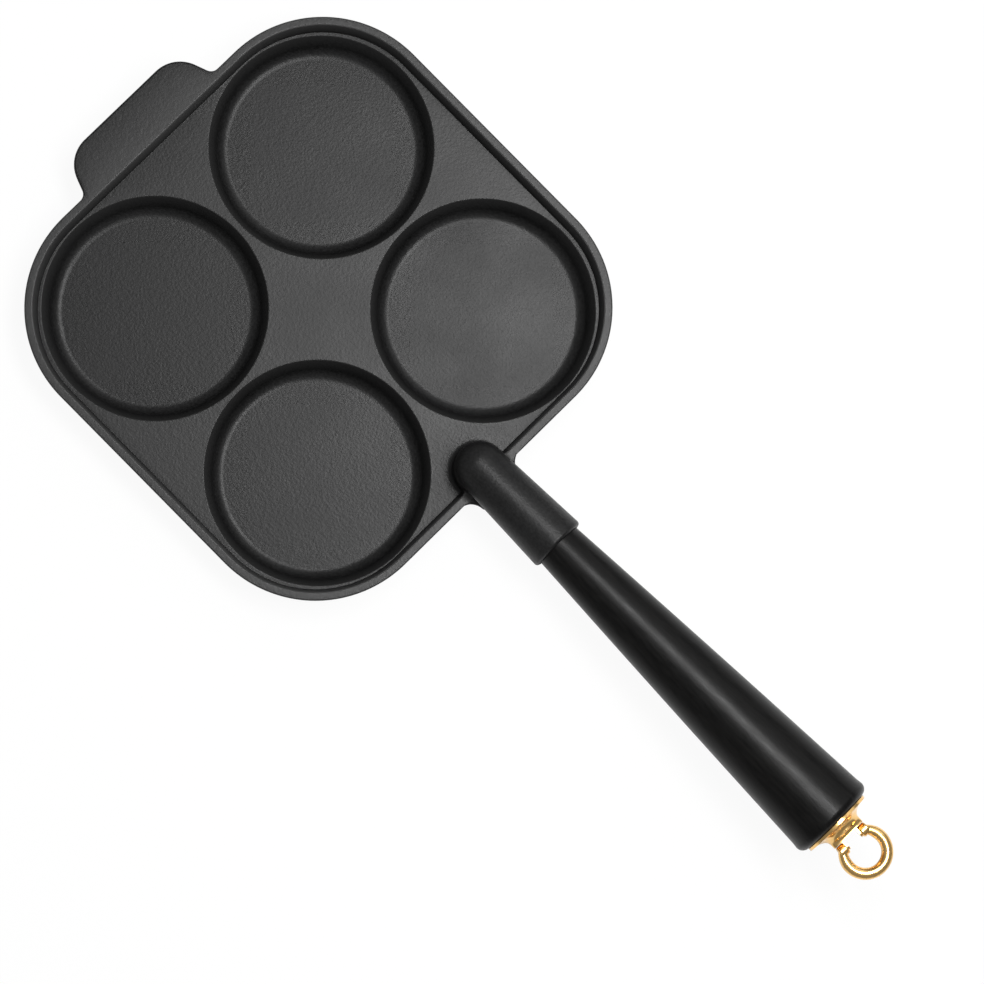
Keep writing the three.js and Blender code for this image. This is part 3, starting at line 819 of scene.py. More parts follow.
def socket_profile(pan, at, bored=True):
    """Radius and distance along the handle's axis, from the elbow's ball to the socket's mouth."""
    elbow, grip = pan.elbow, pan.grip
    ball = arc(0, 0, elbow.radius, -90, 0, 24)
    rounding = elbow.mouth_round
    mouth = arc(
        elbow.mouth_radius - rounding, elbow.socket_reach - rounding, rounding, 0, 90, 8
    )
    steps = 40 if bored else 1
    (x0, y0), (x1, y1) = ball[-1], mouth[0]
    side = [
        (x0 + (x1 - x0) * i / steps, y0 + (y1 - y0) * i / steps) for i in range(1, steps)
    ]
    outside = ball + side + mouth
    if not bored:
        return outside + [(0, elbow.socket_reach)]
    bore_end = elbow.socket_reach - elbow.bore_depth
    rod_end = bore_end - elbow.rod_depth
    mouth_bore = grip.neck_radius + grip.seat_gap
    inner = mouth_bore - at.taper * elbow.bore_depth
    return outside + [
        (mouth_bore, elbow.socket_reach),
        (inner, bore_end),
        (elbow.rod_radius, bore_end),
        (elbow.rod_radius, rod_end),
        (0, rod_end),
    ]


def web_outline(pan, at):
    """The web below the socket as (distance along, half width, height of its hollow underside)."""
    elbow, fillet = pan.elbow, pan.elbow.web_fillet
    low, high = at.underside_z + pan.head.skirt_round, at.elbow_z - elbow.radius
    start = at.half_length - CastShape.web_overlap
    straight = 10
    turns = [math.radians(turn) for turn in range(0, 100, 10)]
    steps = [(fillet * (1 - math.cos(t)), fillet * (1 - math.sin(t))) for t in turns]
    steps += [
        (fillet + (elbow.web_reach - fillet) * i / straight, 0.0) for i in range(1, straight + 1)
    ]
    outline = [(at.half_length - pan.head.rim_width / 2, elbow.radius + fillet, low)]
    for out, extra in steps:
        taper = max(0.0, out - fillet) / (elbow.web_reach - fillet)
        half = elbow.radius + (elbow.web_tip - elbow.radius) * taper + extra
        t = math.sqrt(out / elbow.web_reach)
        outline.append((start + out, half, high - (high - low) * (1 - t) ** 2))
    return outline


def web_mesh(outline, top, lean):
    """The web as one closed mesh that leans with the rim's outside."""
    half_columns, rows = 8, 4
    rings = []
    for along, half, low in outline:
        across = [half * (i / half_columns - 1) for i in range(2 * half_columns + 1)]
        heights = [low + (top - low) * i / rows for i in range(1, rows)]
        ring = [(along, y, low) for y in across] + [(along, half, z) for z in heights]
        ring += [(along, y, top) for y in across[::-1]] + [(along, -half, z) for z in heights[::-1]]
        rings.append([(x - lean * (top - z), y, z) for x, y, z in ring])
    return lofted("web", rings)


def polygon_distance(x, y, polygon):
    """Signed distance of many points from a closed polygon, negative inside."""
    start = np.array(polygon)
    edge = np.roll(start, -1, axis=0) - start
    to_x = x[:, None] - start[:, 0]
    to_y = y[:, None] - start[:, 1]
    along = (to_x * edge[:, 0] + to_y * edge[:, 1]) / np.maximum((edge**2).sum(1), LEAST_DIVISOR)
    along = np.clip(along, 0, 1)
    gap = np.hypot(to_x - along * edge[:, 0], to_y - along * edge[:, 1]).min(1)
    below = to_y >= 0
    below_end = to_y - edge[:, 1] >= 0
    crosses = (below != below_end) & ((edge[:, 0] * to_y > edge[:, 1] * to_x) == (edge[:, 1] < 0))
    inside = crosses.sum(1) % 2 == 1
    return np.where(inside, -gap, gap)


def soft_union(a, b, size):
    """The lesser of two distances, with a fillet of that size where they are alike."""
    return np.minimum(a, b) - np.maximum(size - np.abs(a - b), 0) ** 2 / (4 * size)


class CastShape:
    """Distances from the head's edge and from the elbow, in the head's frame."""

    inset = 0.001  # the leg's foot and outer end stay this far inside the casting
    leg_gap = 0.0002  # the leg's wall stays this far inside the elbow's ball
    web_overlap = 0.0003  # the web's fillets start this far inside the rim's edge
    web_gap = 2e-5  # the web's top lies this far below the rim's top
    deep = 0.08  # the edge's section runs this far into the head
    fillet_start = 0.006  # the fillets start to grow this far inside the rim's edge
    fillet_run = 0.008  # length over which they grow
    slope_step = 1e-5  # for measuring the slope of the distance
    least_slope = 0.05  # of its square, so that a move on level ground stays short
    longest_move = 0.0008  # of a point in one round

    def __init__(self, pan, at):
        self.elbow = pan.elbow
        self.at = at
        self.leg_end = at.half_length - pan.head.rim_width / 2 - self.inset
        self.neck_z = at.rim_z - pan.head.lip_round
        self.foot_z = at.deck_z - self.inset
        section = rim_section(pan.head, at) + [(self.deep, at.deck_z), (self.deep, at.underside_z)]
        self.section = list(dict.fromkeys(section))
        self.socket = [(s, r) for r, s in socket_profile(pan, at, bored=False)]
        self.axis = (math.cos(pan.elbow.tilt), math.sin(pan.elbow.tilt))
        self.web_top = at.rim_z - self.web_gap
        self.web_round = pan.head.lip_round
        self.web_outline = web_outline(pan, at)
        plan = [(x, half) for x, half, _ in self.web_outline]
        self.web_plan = plan + [(x, -half) for x, half in reversed(plan)]
        self.web_side = [(x, low) for x, _, low in self.web_outline]
        self.web_side += [(plan[-1][0], self.web_top), (plan[0][0], self.web_top)]

    def head(self, p):
        """The head with the web below the socket."""
        edge = polygon_distance(self.at.half_length - p[:, 0], p[:, 2], self.section)
        x = p[:, 0] + self.at.rim_lean * (self.web_top - p[:, 2])
        plan = polygon_distance(x, p[:, 1], self.web_plan) + self.web_round
        side = polygon_distance(x, p[:, 2], self.web_side) + self.web_round
        outside = np.hypot(np.maximum(plan, 0), np.maximum(side, 0))
        web = outside + np.minimum(np.maximum(plan, side), 0) - self.web_round
        return np.minimum(edge, web)

    def leg(self, p):
        """The round leg under the elbow's ball, inside the rim and above it."""
        x = p[:, 0] - self.at.elbow_x
        up = np.maximum(p[:, 2] - self.at.elbow_z, 0)
        post = np.sqrt(x**2 + p[:, 1] ** 2 + up**2) - self.elbow.radius
        post = np.maximum(post, self.foot_z - p[:, 2])
        beside = np.maximum(post, p[:, 0] - self.leg_end)
        above = np.maximum(post, self.neck_z - p[:, 2])
        return np.minimum(beside, above)

    def socket_body(self, p):
        """The elbow's ball and the socket, without its bore."""
        x = p[:, 0] - self.at.elbow_x
        z = p[:, 2] - self.at.elbow_z
        along = x * self.axis[0] + z * self.axis[1]
        across = np.hypot(z * self.axis[0] - x * self.axis[1], p[:, 1])
        return polygon_distance(along, across, self.socket)

    def handle_root(self, p):
        """The leg and the socket together."""
        return np.minimum(self.leg(p), self.socket_body(p))

    def fillet(self, p):
        """Fillets grow from the deck's side of the rim to its outside."""
        inner = self.at.half_length - self.fillet_start
        t = np.clip((p[:, 0] - inner) / self.fillet_run, 0, 1)
        return self.elbow.foot_fillet + t * (self.elbow.outer_fillet - self.elbow.foot_fillet)

    def whole(self, p):
        """The head and the elbow with the fillets between them."""
        return soft_union(self.head(p), self.handle_root(p), self.fillet(p))

    def settle(self, p, rounds=3):
        """Moves points along the slope of the distance until they lie on the cast surface."""
        step = self.slope_step
        for _ in range(rounds):
            value = self.whole(p)
            slope = np.stack([(self.whole(p + s) - value) / step for s in np.eye(3) * step], axis=1)
            move = -(value / np.maximum((slope**2).sum(1), self.least_slope))[:, None] * slope
            reach = np.maximum(np.linalg.norm(move, axis=1), LEAST_DIVISOR)
            p = p + move * np.minimum(1, self.longest_move / reach)[:, None]
        return p


def root_meshes(pan, at, shape):
    """The elbow's leg, the socket and the web below it, as closed meshes in the head's frame."""
    elbow = pan.elbow
    leg_radius = elbow.radius - shape.leg_gap
    steps = 24
    rise = [
        shape.foot_z + (at.elbow_z - shape.foot_z) * i / steps for i in range(steps + 1)
    ]
    leg = turned("leg", [(0, shape.foot_z), *((leg_radius, z) for z in rise), (0, at.elbow_z)], 72)
    leg.transform(Matrix.Translation((at.elbow_x, 0, 0)))
    for vert in leg.vertices:
        if vert.co.z < shape.neck_z:
            vert.co.x = min(vert.co.x, shape.leg_end)
    socket = turned("socket", socket_profile(pan, at), 96)
    socket.transform(at.head.inverted() @ at.turned_along)
    return leg, socket, web_mesh(shape.web_outline, shape.web_top, at.rim_lean)


ROOT_REACH = 0.03  # half width of the place around the elbow that is refined
ROOT_SKIN = 0.0022  # a point this near to the cast surface counts as lying on it
ROOT_MARGIN = 0.0005  # the refined zone runs this far past a fillet's edge
WEB_START = 0.0001  # the web's zone starts this far outside the rim's edge
EDGE_LIMITS = (0.0024, 0.0018, 0.0012, 0.0008, 0.0006)  # longest edges, round by round
RELAX_ROUNDS = 6
JOIN_DISTANCE = 5e-5  # points nearer than this are joined after the refinement


def soften_root(mesh, shape):
    """Refines the mesh where the elbow leaves the head, and settles it on the filleted surface."""
    bm = bmesh.new()
    bm.from_mesh(mesh)

    def near_root():
        """All points, and which of them are refined and which are settled."""
        points = np.array([v.co for v in bm.verts])
        zone = np.zeros(len(points), bool)
        beside = np.abs(points[:, 1]) < ROOT_REACH
        picked = np.flatnonzero(beside & (points[:, 0] > shape.at.elbow_x - ROOT_REACH))
        fillet = shape.fillet(points[picked])
        root = shape.handle_root(points[picked])
        head = shape.head(points[picked])
        whole = np.abs(shape.whole(points[picked]))
        near = (whole < ROOT_SKIN) | (np.minimum(root, head) > -ROOT_MARGIN)
        on_web = points[picked, 0] > shape.at.half_length + WEB_START
        blended = (root < fillet + ROOT_MARGIN) & (head < fillet + ROOT_MARGIN)
        zone[picked] = (blended | on_web & (head < ROOT_MARGIN)) & near
        outer = np.zeros(len(points), bool)
        outer[picked] = (on_web | (root < fillet + 2 * ROOT_MARGIN)) & (head < 2 * fillet) & near
        return points, zone, outer

    for limit in EDGE_LIMITS:
        _, zone, _ = near_root()
        bm.verts.index_update()
        long = [
            e for e in bm.edges
            if zone[e.verts[0].index] and zone[e.verts[1].index] and e.calc_length() > limit
        ]
        bmesh.ops.subdivide_edges(bm, edges=long, cuts=1)
        bmesh.ops.triangulate(bm, faces=[f for f in bm.faces if len(f.verts) > 4])
    bmesh.ops.remove_doubles(bm, verts=bm.verts, dist=JOIN_DISTANCE)
    for _ in range(RELAX_ROUNDS):
        points, zone, outer = near_root()
        bm.verts.ensure_lookup_table()
        relaxed = points.copy()
        for i in np.flatnonzero(zone):
            around = [e.other_vert(bm.verts[i]).index for e in bm.verts[i].link_edges]
            relaxed[i] = points[i] * 0.5 + points[around].mean(0) * 0.5
        relaxed[outer] = shape.settle(relaxed[outer])
        for i in np.flatnonzero(outer):
            bm.verts[i].co = relaxed[i]
        bm.verts.index_update()
    bmesh.ops.recalc_face_normals(bm, faces=bm.faces)
    bm.to_mesh(mesh)
    bm.free()


# Shader groups and materials


def new_group(name, inputs, outputs):
    """An empty shader group with its named sockets, and the nodes at its ends."""
    tree = bpy.data.node_groups.new(name, "ShaderNodeTree")
    for label, default in inputs:
        socket = tree.interface.new_socket(label, in_out="INPUT", socket_type="NodeSocketFloat")
        socket.default_value = default
    for label in outputs:
        tree.interface.new_socket(label, in_out="OUTPUT", socket_type="NodeSocketFloat")
    return tree, tree.nodes.new("NodeGroupInput"), tree.nodes.new("NodeGroupOutput")


def grain_group():
    """Fine grain and broad mottling, in the object's own place."""
    tree, given, result = new_group(
        "Grain", [("Grain scale", 900.0), ("Mottle scale", 60.0), ("Along", 1.0)],
        ("Grain", "Mottle", "Pits"),
    )
    place = add_node(tree, "ShaderNodeTexCoord")
    stretch = add_node(
        tree, "ShaderNodeCombineXYZ", {"X": given.outputs["Along"], "Y": 1.0, "Z": 1.0}
    )
    scaled = add_node(
        tree, "ShaderNodeVectorMath",
        {0: place.outputs["Object"], 1: stretch.outputs["Vector"]}, operation="MULTIPLY",
    )
    for label, scale, detail in (("Grain", "Grain scale", 3.0), ("Mottle", "Mottle scale", 4.0)):
        noise = add_node(tree, "ShaderNodeTexNoise", {
            "Vector": scaled.outputs["Vector"], "Scale": given.outputs[scale],
            "Detail": detail, "Roughness": 0.6,
        })
        tree.links.new(noise.outputs["Fac"], result.inputs[label])
    cells = add_node(tree, "ShaderNodeTexVoronoi", {
        "Vector": scaled.outputs["Vector"], "Scale": given.outputs["Mottle scale"],
    })
    pits = add_node(tree, "ShaderNodeMapRange", {
        "Value": cells.outputs["Distance"], "From Min": 0.02, "From Max": 0.14,
        "To Min": 1.0, "To Max": 0.0,
    })
    tree.links.new(pits.outputs["Result"], result.inputs["Pits"])
    return tree


def new_material(name):
    """A material with its tree and its surface shader."""
    material = bpy.data.materials.new(name)
    material.use_nodes = True
    tree = material.node_tree
    return material, tree, tree.nodes["Principled BSDF"]


def mixed(tree, factor, low, high):
    """A colour between two, which are numbers or sockets, by a factor.

    The node has sockets for several kinds of value, so its colours are found by their places.
    """
    ends = [c if isinstance(c, bpy.types.NodeSocket) else (*c, 1.0) for c in (low, high)]
    node = add_node(
        tree, "ShaderNodeMix", {0: factor, 6: ends[0], 7: ends[1]}, data_type="RGBA"
    )
    return node.outputs[2]


def ranged(tree, value, low, high, start=0.3, end=0.7):
    """A noise value spread between two numbers."""
    node = add_node(tree, "ShaderNodeMapRange", {
        "Value": value, "From Min": start, "From Max": end, "To Min": low, "To Max": high,
    })
    return node.outputs["Result"]


def added(tree, a, b, weight):
    """One value plus a share of another."""
    node = add_node(
        tree, "ShaderNodeMath", {0: b, 1: weight, 2: a}, operation="MULTIPLY_ADD"
    )
    return node.outputs["Value"]


def bumped(tree, height, strength, distance):
    """A normal that follows a height."""
    node = add_node(
        tree, "ShaderNodeBump", {"Height": height, "Strength": strength, "Distance": distance}
    )
    return node.outputs["Normal"]


def placed_grain(tree, group, grain_scale, mottle_scale, along=1.0):
    """The outputs of the grain group at the given scales."""
    node = add_node(tree, "ShaderNodeGroup", {
        "Grain scale": grain_scale, "Mottle scale": mottle_scale, "Along": along,
    }, node_tree=group)
    return node.outputs


def iron_material(finishes, grain):
    """Grainy dark iron, lighter along its rim and well mouths: partly worn seasoning, partly a
    painted highlight on those edges.
    """
    material, tree, shader = new_material("Seasoned iron")
    fine = placed_grain(tree, grain, grain_scale=900.0, mottle_scale=90.0)
    broad = placed_grain(tree, grain, grain_scale=420.0, mottle_scale=24.0)
    dark, light = ([c * share for c in finishes.iron] for share in (0.4, 1.7))
    tone = added(tree, ranged(tree, fine["Grain"], 0.0, 0.5), broad["Mottle"], weight=0.5)
    colour = mixed(tree, ranged(tree, tone, 0.0, 1.0, start=0.2, end=0.8), dark, light)
    # Painted highlight and wear: the attribute moves the rim and the well mouths towards the lighter
    # worn iron colour
    edge = add_node(tree, "ShaderNodeAttribute", attribute_name="worn_and_highlit")
    height = added(tree, fine["Grain"], broad["Grain"], weight=0.8)
    set_inputs(tree, shader, {
        "Base Color": mixed(tree, edge.outputs["Fac"], colour, finishes.worn_iron_and_highlight),
        "Roughness": ranged(tree, broad["Mottle"], 0.35, 0.44),
        "Normal": bumped(tree, height, strength=0.45, distance=0.0002),
        "Specular IOR Level": 0.23,
    })
    return material


def wood_material(finishes, grain, tilt):
    """Nearly black wood with fibres along the grip."""
    fibre_scale = (26, 900, 900)
    material, tree, shader = new_material("Black-stained wood")
    place = add_node(tree, "ShaderNodeTexCoord")
    along = add_node(
        tree, "ShaderNodeMapping",
        {"Vector": place.outputs["Object"], "Rotation": (0, tilt, 0), "Scale": fibre_scale},
    )
    fibres = add_node(tree, "ShaderNodeTexNoise", {
        "Vector": along.outputs["Vector"], "Scale": 1.0, "Detail": 5.0, "Roughness": 0.62,
    })
    broad = placed_grain(tree, grain, grain_scale=240.0, mottle_scale=36.0, along=0.35)
    tone = added(tree, fibres.outputs["Fac"], broad["Mottle"], weight=0.35)
    stain = ranged(tree, tone, 0.0, 1.0, start=0.5, end=0.95)
    height = added(tree, fibres.outputs["Fac"], broad["Pits"], weight=-0.25)
    set_inputs(tree, shader, {
        "Base Color": mixed(tree, stain, finishes.wood, finishes.wood_grain),
        "Roughness": ranged(tree, fibres.outputs["Fac"], 0.3, 0.42),
        "Normal": bumped(tree, height, strength=0.25, distance=0.00012),
        "Specular IOR Level": 0.16,
    })
    return material


def metal_material(name, grain, bright, dull, roughness, patch_scale):
    """Bright metal with duller, rougher patches."""
    material, tree, shader = new_material(name)
    spots = placed_grain(tree, grain, grain_scale=2600.0, mottle_scale=patch_scale)
    tarnish = ranged(tree, spots["Mottle"], 0.0, 1.0, start=0.45, end=0.85)
    set_inputs(tree, shader, {
        "Base Color": mixed(tree, tarnish, bright, dull),
        "Roughness": ranged(tree, spots["Mottle"], roughness, roughness * 1.8),
        "Normal": bumped(tree, spots["Grain"], strength=0.06, distance=0.00004),
        "Metallic": 1.0,
    })
    return material


# Operators


def pan_of(context):
    """The settings that are kept with the scene."""
    return context.scene.egg_pan


def grain_of():
    """The grain group, which the materials share."""
    return bpy.data.node_groups.get("Grain") or grain_group()


def brass_of(finishes):
    """The brass, which the cap and the loop share."""
    return bpy.data.materials.get("Polished brass") or metal_material(
        "Polished brass", grain_of(), finishes.brass, finishes.brass_dull,
        roughness=0.16, patch_scale=130.0,
    )


# Bands of lighter iron at the well mouths and along the rim: partly real wear, partly a painted
# highlight on those edges
MOUTH_WEAR_AND_HIGHLIGHT = SimpleNamespace(amount=0.4, inside=0.0004, width=0.0006, height=0.0015)
RIM_WEAR_AND_HIGHLIGHT = SimpleNamespace(
    top=0.45, edge=0.55, width=0.0005, past=0.001, outside=0.0002, height=0.0008
)


def mark_wear_and_highlight(mesh, at, head):
    """An attribute that rises to 1 along the rim and the well mouths, where the iron is worn and
    where a highlight is painted.
    """
    points = np.empty(len(mesh.vertices) * 3)
    mesh.vertices.foreach_get("co", points)
    points = points.reshape(-1, 3)
    x = points[:, 0] - at.head_x
    y, z = points[:, 1], points[:, 2]
    side_x = np.abs(x) - head.spacing_along / 2
    side_y = np.abs(y) - head.spacing_across / 2
    from_well = np.hypot(side_x, side_y)
    mouth = np.exp(-(((from_well - head.mouth_radius + MOUTH_WEAR_AND_HIGHLIGHT.inside) / MOUTH_WEAR_AND_HIGHLIGHT.width) ** 2))
    mouth *= np.abs(z - at.deck_z) < MOUTH_WEAR_AND_HIGHLIGHT.height
    side_y -= head.side_ledge
    inset = at.corner_radius - np.hypot(np.maximum(side_x, 0), np.maximum(side_y, 0))
    inset -= np.minimum(np.maximum(side_x, side_y), 0)
    # A painted highlight line along the rim's inner lip, together with its wear
    inner_edge_wear_and_highlight = np.exp(-(((inset - head.rim_width) / RIM_WEAR_AND_HIGHLIGHT.width) ** 2))
    rim = RIM_WEAR_AND_HIGHLIGHT.top * (inset > -RIM_WEAR_AND_HIGHLIGHT.outside) + RIM_WEAR_AND_HIGHLIGHT.edge * inner_edge_wear_and_highlight
    rim *= (np.abs(z - at.rim_z) < RIM_WEAR_AND_HIGHLIGHT.height) & (inset < head.rim_width + RIM_WEAR_AND_HIGHLIGHT.past)
    values = np.clip(MOUTH_WEAR_AND_HIGHLIGHT.amount * mouth + rim, 0, 1).astype(np.float32)
    mesh.attributes.new("worn_and_highlit", "FLOAT", "POINT").data.foreach_set("value", values)


class EGGPAN_OT_casting(Operator):
    """Make the iron casting: wells, deck, rim, tab, elbow and socket"""

    bl_idname = "egg_pan.casting"
    bl_label = "Iron casting"

    def execute(self, context):
        pan = pan_of(context)
        at = layout(pan)
        shape = CastShape(pan, at)
        meshes = [head_mesh(pan.head, at), *root_meshes(pan, at, shape)]
        mesh = combined("pan_casting_iron", meshes, "UNION")
        soften_root(mesh, shape)
        mesh.transform(at.head)
        mark_wear_and_highlight(mesh, at, pan.head)
        paint(mesh, iron_material(pan.finishes, grain_of()))
        add_piece("pan_casting_iron", mesh, "pan", "pan_casting", sharp=50.0)
        return {"FINISHED"}


def grip_profile(pan, at):
    """The grip from its tenon over its swell to the butt and back through the rod's hole."""
    grip, reach, rod = pan.grip, pan.elbow.socket_reach, pan.elbow.rod_radius
    tenon_end = reach - grip.tenon_length
    tenon = grip.neck_radius - at.taper * grip.tenon_length
    rounding = grip.butt_round
    shoulder = arc(grip.butt_radius - rounding, at.butt - rounding, rounding, 0, 90, 12)
    steps = 60
    exposed = shoulder[0][1] - reach
    taper = []
    for i in range(steps):
        share = i / steps
        plain = grip.neck_radius + at.taper * exposed * share
        taper.append((plain + grip.swell * math.sin(math.pi * share), reach + exposed * share))
    bottom = at.butt - grip.counterbore_depth
    return [
        (rod, tenon_end),
        (tenon - grip.tenon_chamfer, tenon_end),
        (tenon, tenon_end + grip.tenon_chamfer),
        *taper,
        *shoulder,
        (grip.counterbore_radius, at.butt),
        (grip.counterbore_radius, bottom),
        (rod, bottom),
        (rod, tenon_end),
    ]


class EGGPAN_OT_grip(Operator):
    """Turn the wooden grip with its tenon and its counterbore"""

    bl_idname = "egg_pan.grip"
    bl_label = "Wooden grip"

    def execute(self, context):
        pan = pan_of(context)
        at = layout(pan)
        wood = wood_material(pan.finishes, grain_of(), pan.elbow.tilt)
        mesh = turned("handle_grip_wood", grip_profile(pan, at), 144, wood)
        mesh.transform(at.turned_along)
        add_piece("handle_grip_wood", mesh, "pan", "handle_grip")
        return {"FINISHED"}


BAR_ROOT = 0.0012  # the bar starts this far behind the cap's front
BAR_NARROWING = 2.6  # how soon the round front narrows to the bar
BAR_SQUARENESS = 0.35  # how square the bar's end is
LUG_ROOT = 0.001  # a lug starts this far behind the cap's front
HOLE_PAST = 0.001  # the pin's hole is cut this far past a lug's sides


def bridge_mesh(cap, at):
    """The cap's front, drawn out from the round bell to a bar that carries the lugs."""
    start = at.cap_front - BAR_ROOT
    reach = at.bar_front - start
    steps, count = 14, 96
    rings = []
    for i in range(steps + 1):
        t = i / steps
        narrowed = 1 - (1 - t) ** BAR_NARROWING
        across = cap.front_radius + (cap.bar_half_width - cap.front_radius) * narrowed
        up = cap.front_radius + (cap.bar_half_height - cap.front_radius) * narrowed
        power = 1 - BAR_SQUARENESS * t
        ring = []
        for k in range(count):
            turn = 2 * math.pi * k / count
            c, s = math.cos(turn), math.sin(turn)
            y = across * math.copysign(abs(c) ** power, c)
            z = up * math.copysign(abs(s) ** power, s)
            ring.append((start + reach * t, y, z))
        rings.append(ring)
    return lofted("bridge", rings)


def lug_mesh(pan, at, side):
    """One lug: an ear with a hole across for the loop's pin."""
    cap, loop = pan.cap, pan.loop
    root, ear = at.cap_front - LUG_ROOT, cap.lug_radius
    outline = [(root, -ear), *arc(at.pivot, 0, ear, -90, 90, 24), (root, ear)]
    bm = bmesh.new()
    low, high = sorted((side * at.lug_inner, side * at.lug_outer))
    face = bm.faces.new([bm.verts.new((x, low, z)) for x, z in outline])
    grown = bmesh.ops.extrude_face_region(bm, geom=[face])
    moved = [v for v in grown["geom"] if isinstance(v, bmesh.types.BMVert)]
    bmesh.ops.translate(bm, verts=moved, vec=(0, high - low, 0))
    bore = loop.pin_radius + loop.swing_gap
    start, end = low - HOLE_PAST, high + HOLE_PAST
    hole = turned("pin hole", [(0, start), (bore, start), (bore, end), (0, end)], 48)
    hole.transform(Matrix.Translation((at.pivot, 0, 0)) @ Matrix.Rotation(-math.pi / 2, 4, "X"))
    return combined("lug", [finished(bm, "lug"), hole], "DIFFERENCE")


def bell_profile(pan, at):
    """The cap from the rod's hole around its hub and its hollow flare to its front."""
    cap, rod = pan.cap, pan.elbow.rod_radius
    hole_end = at.cap_front - cap.front_wall
    hub_end = at.cap_seat - cap.hub_length
    steps = 24
    flare = []
    for i in range(steps + 1):
        turn = math.pi * (1.5 - 0.5 * i / steps)
        flare.append((
            cap.flange_radius + (cap.flange_radius - cap.front_radius) * math.cos(turn),
            at.cap_front + (cap.height - cap.flange_edge) * math.sin(turn),
        ))
    return [
        (0, hole_end),
        (rod, hole_end),
        (rod, hub_end),
        (cap.hub_radius, hub_end),
        (cap.hub_radius, at.cap_seat),
        (cap.flange_radius, at.cap_seat),
        *flare,
        (0, at.cap_front),
    ]


class EGGPAN_OT_cap(Operator):
    """Make the bell-shaped brass cap with its bar and its two lugs"""

    bl_idname = "egg_pan.cap"
    bl_label = "Brass end cap"

    def execute(self, context):
        pan = pan_of(context)
        at = layout(pan)
        bell = turned("bell", bell_profile(pan, at), 128)
        bell.transform(Matrix.Rotation(math.pi / 2, 4, "Y"))
        tools = [bridge_mesh(pan.cap, at), *(lug_mesh(pan, at, side) for side in (1, -1))]
        mesh = combined("end_cap_brass", [bell, *tools], "UNION", pan.cap.edge_round)
        mesh.transform(at.handle)
        paint(mesh, brass_of(pan.finishes))
        add_piece("end_cap_brass", mesh, "pan", "end_cap")
        return {"FINISHED"}


KNUCKLE_GAP = 0.00017  # between a knuckle and the cap's bar
KNUCKLE_SHARE = 0.78  # a knuckle's width as a share of the wire's
KNUCKLE_ROUND = 0.4  # rounding of its edges as a share of its half width


def knuckle_mesh(loop, at):
    """The round end of the loop's wire that turns in front of the cap's bar."""
    radius = at.pivot - at.bar_front - KNUCKLE_GAP
    half = loop.wire_radius * KNUCKLE_SHARE
    rounding = half * KNUCKLE_ROUND
    mesh = turned("knuckle", [
        (0, -half),
        *arc(radius - rounding, rounding - half, rounding, -90, 0, 8),
        *arc(radius - rounding, half - rounding, rounding, 0, 90, 8),
        (0, half),
    ], 64)
    mesh.transform(Matrix.Rotation(math.pi / 2, 4, "X"))
    return mesh


class EGGPAN_OT_loop(Operator):
    """Bend the brass hanging loop, with its knuckles and its pins"""

    bl_idname = "egg_pan.loop"
    bl_label = "Hanging loop"

    def execute(self, context):
        pan = pan_of(context)
        at = layout(pan)
        loop = pan.loop
        wire_end = loop.radius * math.sin(loop.end_angle)
        pin_start = wire_end + loop.pin_root
        pivot_x = at.pivot - at.loop_centre
        mesh = mesh_from_tree("hanging_loop_brass", loop_tree(), knuckle_mesh(loop, at), {
            "Ring radius": loop.radius,
            "Wire radius": loop.wire_radius,
            "Start angle": math.pi + loop.end_angle,
            "Sweep angle": 2 * (math.pi - loop.end_angle),
            "Pin radius": loop.pin_radius,
            "Pin length": pin_start - at.lug_inner,
            "Pin places": (pivot_x, (pin_start + at.lug_inner) / 2, 0),
            "Knuckle places": (pivot_x, wire_end, 0),
            "Material": brass_of(pan.finishes),
        })
        mesh.transform(at.handle @ Matrix.Translation((at.loop_centre, 0, 0)))
        add_piece("hanging_loop_brass", mesh, "loop", "hanging_loop")
        return {"FINISHED"}


class EGGPAN_OT_fasteners(Operator):
    """Finish the rod, the washer and the nut inside the grip"""

    bl_idname = "egg_pan.fasteners"
    bl_label = "Fasteners"

    def execute(self, context):
        finishes = pan_of(context).finishes
        dull = [c * 0.7 for c in finishes.steel]
        material = metal_material(
            "Plated steel", grain_of(), finishes.steel, dull, roughness=0.3, patch_scale=300.0
        )
        for name in ("tie_rod", "grip_washer", "grip_nut"):
            paint(frame["nodes"][name].data, material)
        return {"FINISHED"}


FLOOR_HALF = 3.0
FLOOR_WHITE = 0.93  # share of plain white in what the camera sees of the floor
WORLD_STRENGTH = 0.3
LAMP_AIM = 0.1  # from the head's centre towards the handle
LAMPS = (  # name, place from the head's centre, size, power
    ("key", (0.17, 0.18, 1.0), (0.6, 0.24), 9.7),
    ("side", (0.0, 0.9, 0.8), (0.8, 0.8), 1.6),
    ("ceiling", (0.1, 0.0, 2.4), (2.4, 2.4), 4.0),
)


def floor_material(finishes):
    """Nearly white to the camera, with the pan's shadow left in it."""
    material, tree, shader = new_material("Studio floor")
    set_inputs(tree, shader, {"Base Color": (*finishes.floor, 1.0), "Roughness": 0.9})
    path = add_node(tree, "ShaderNodeLightPath")
    share_white = add_node(
        tree, "ShaderNodeMath", {0: path.outputs["Is Camera Ray"], 1: FLOOR_WHITE},
        operation="MULTIPLY",
    )
    white = add_node(tree, "ShaderNodeEmission", {"Color": (1.0, 1.0, 1.0, 1.0), "Strength": 1.0})
    blend = add_node(tree, "ShaderNodeMixShader", {
        0: share_white.outputs["Value"], 1: shader.outputs["BSDF"], 2: white.outputs["Emission"],
    })
    tree.links.new(blend.outputs["Shader"], tree.nodes["Material Output"].inputs["Surface"])
    return material


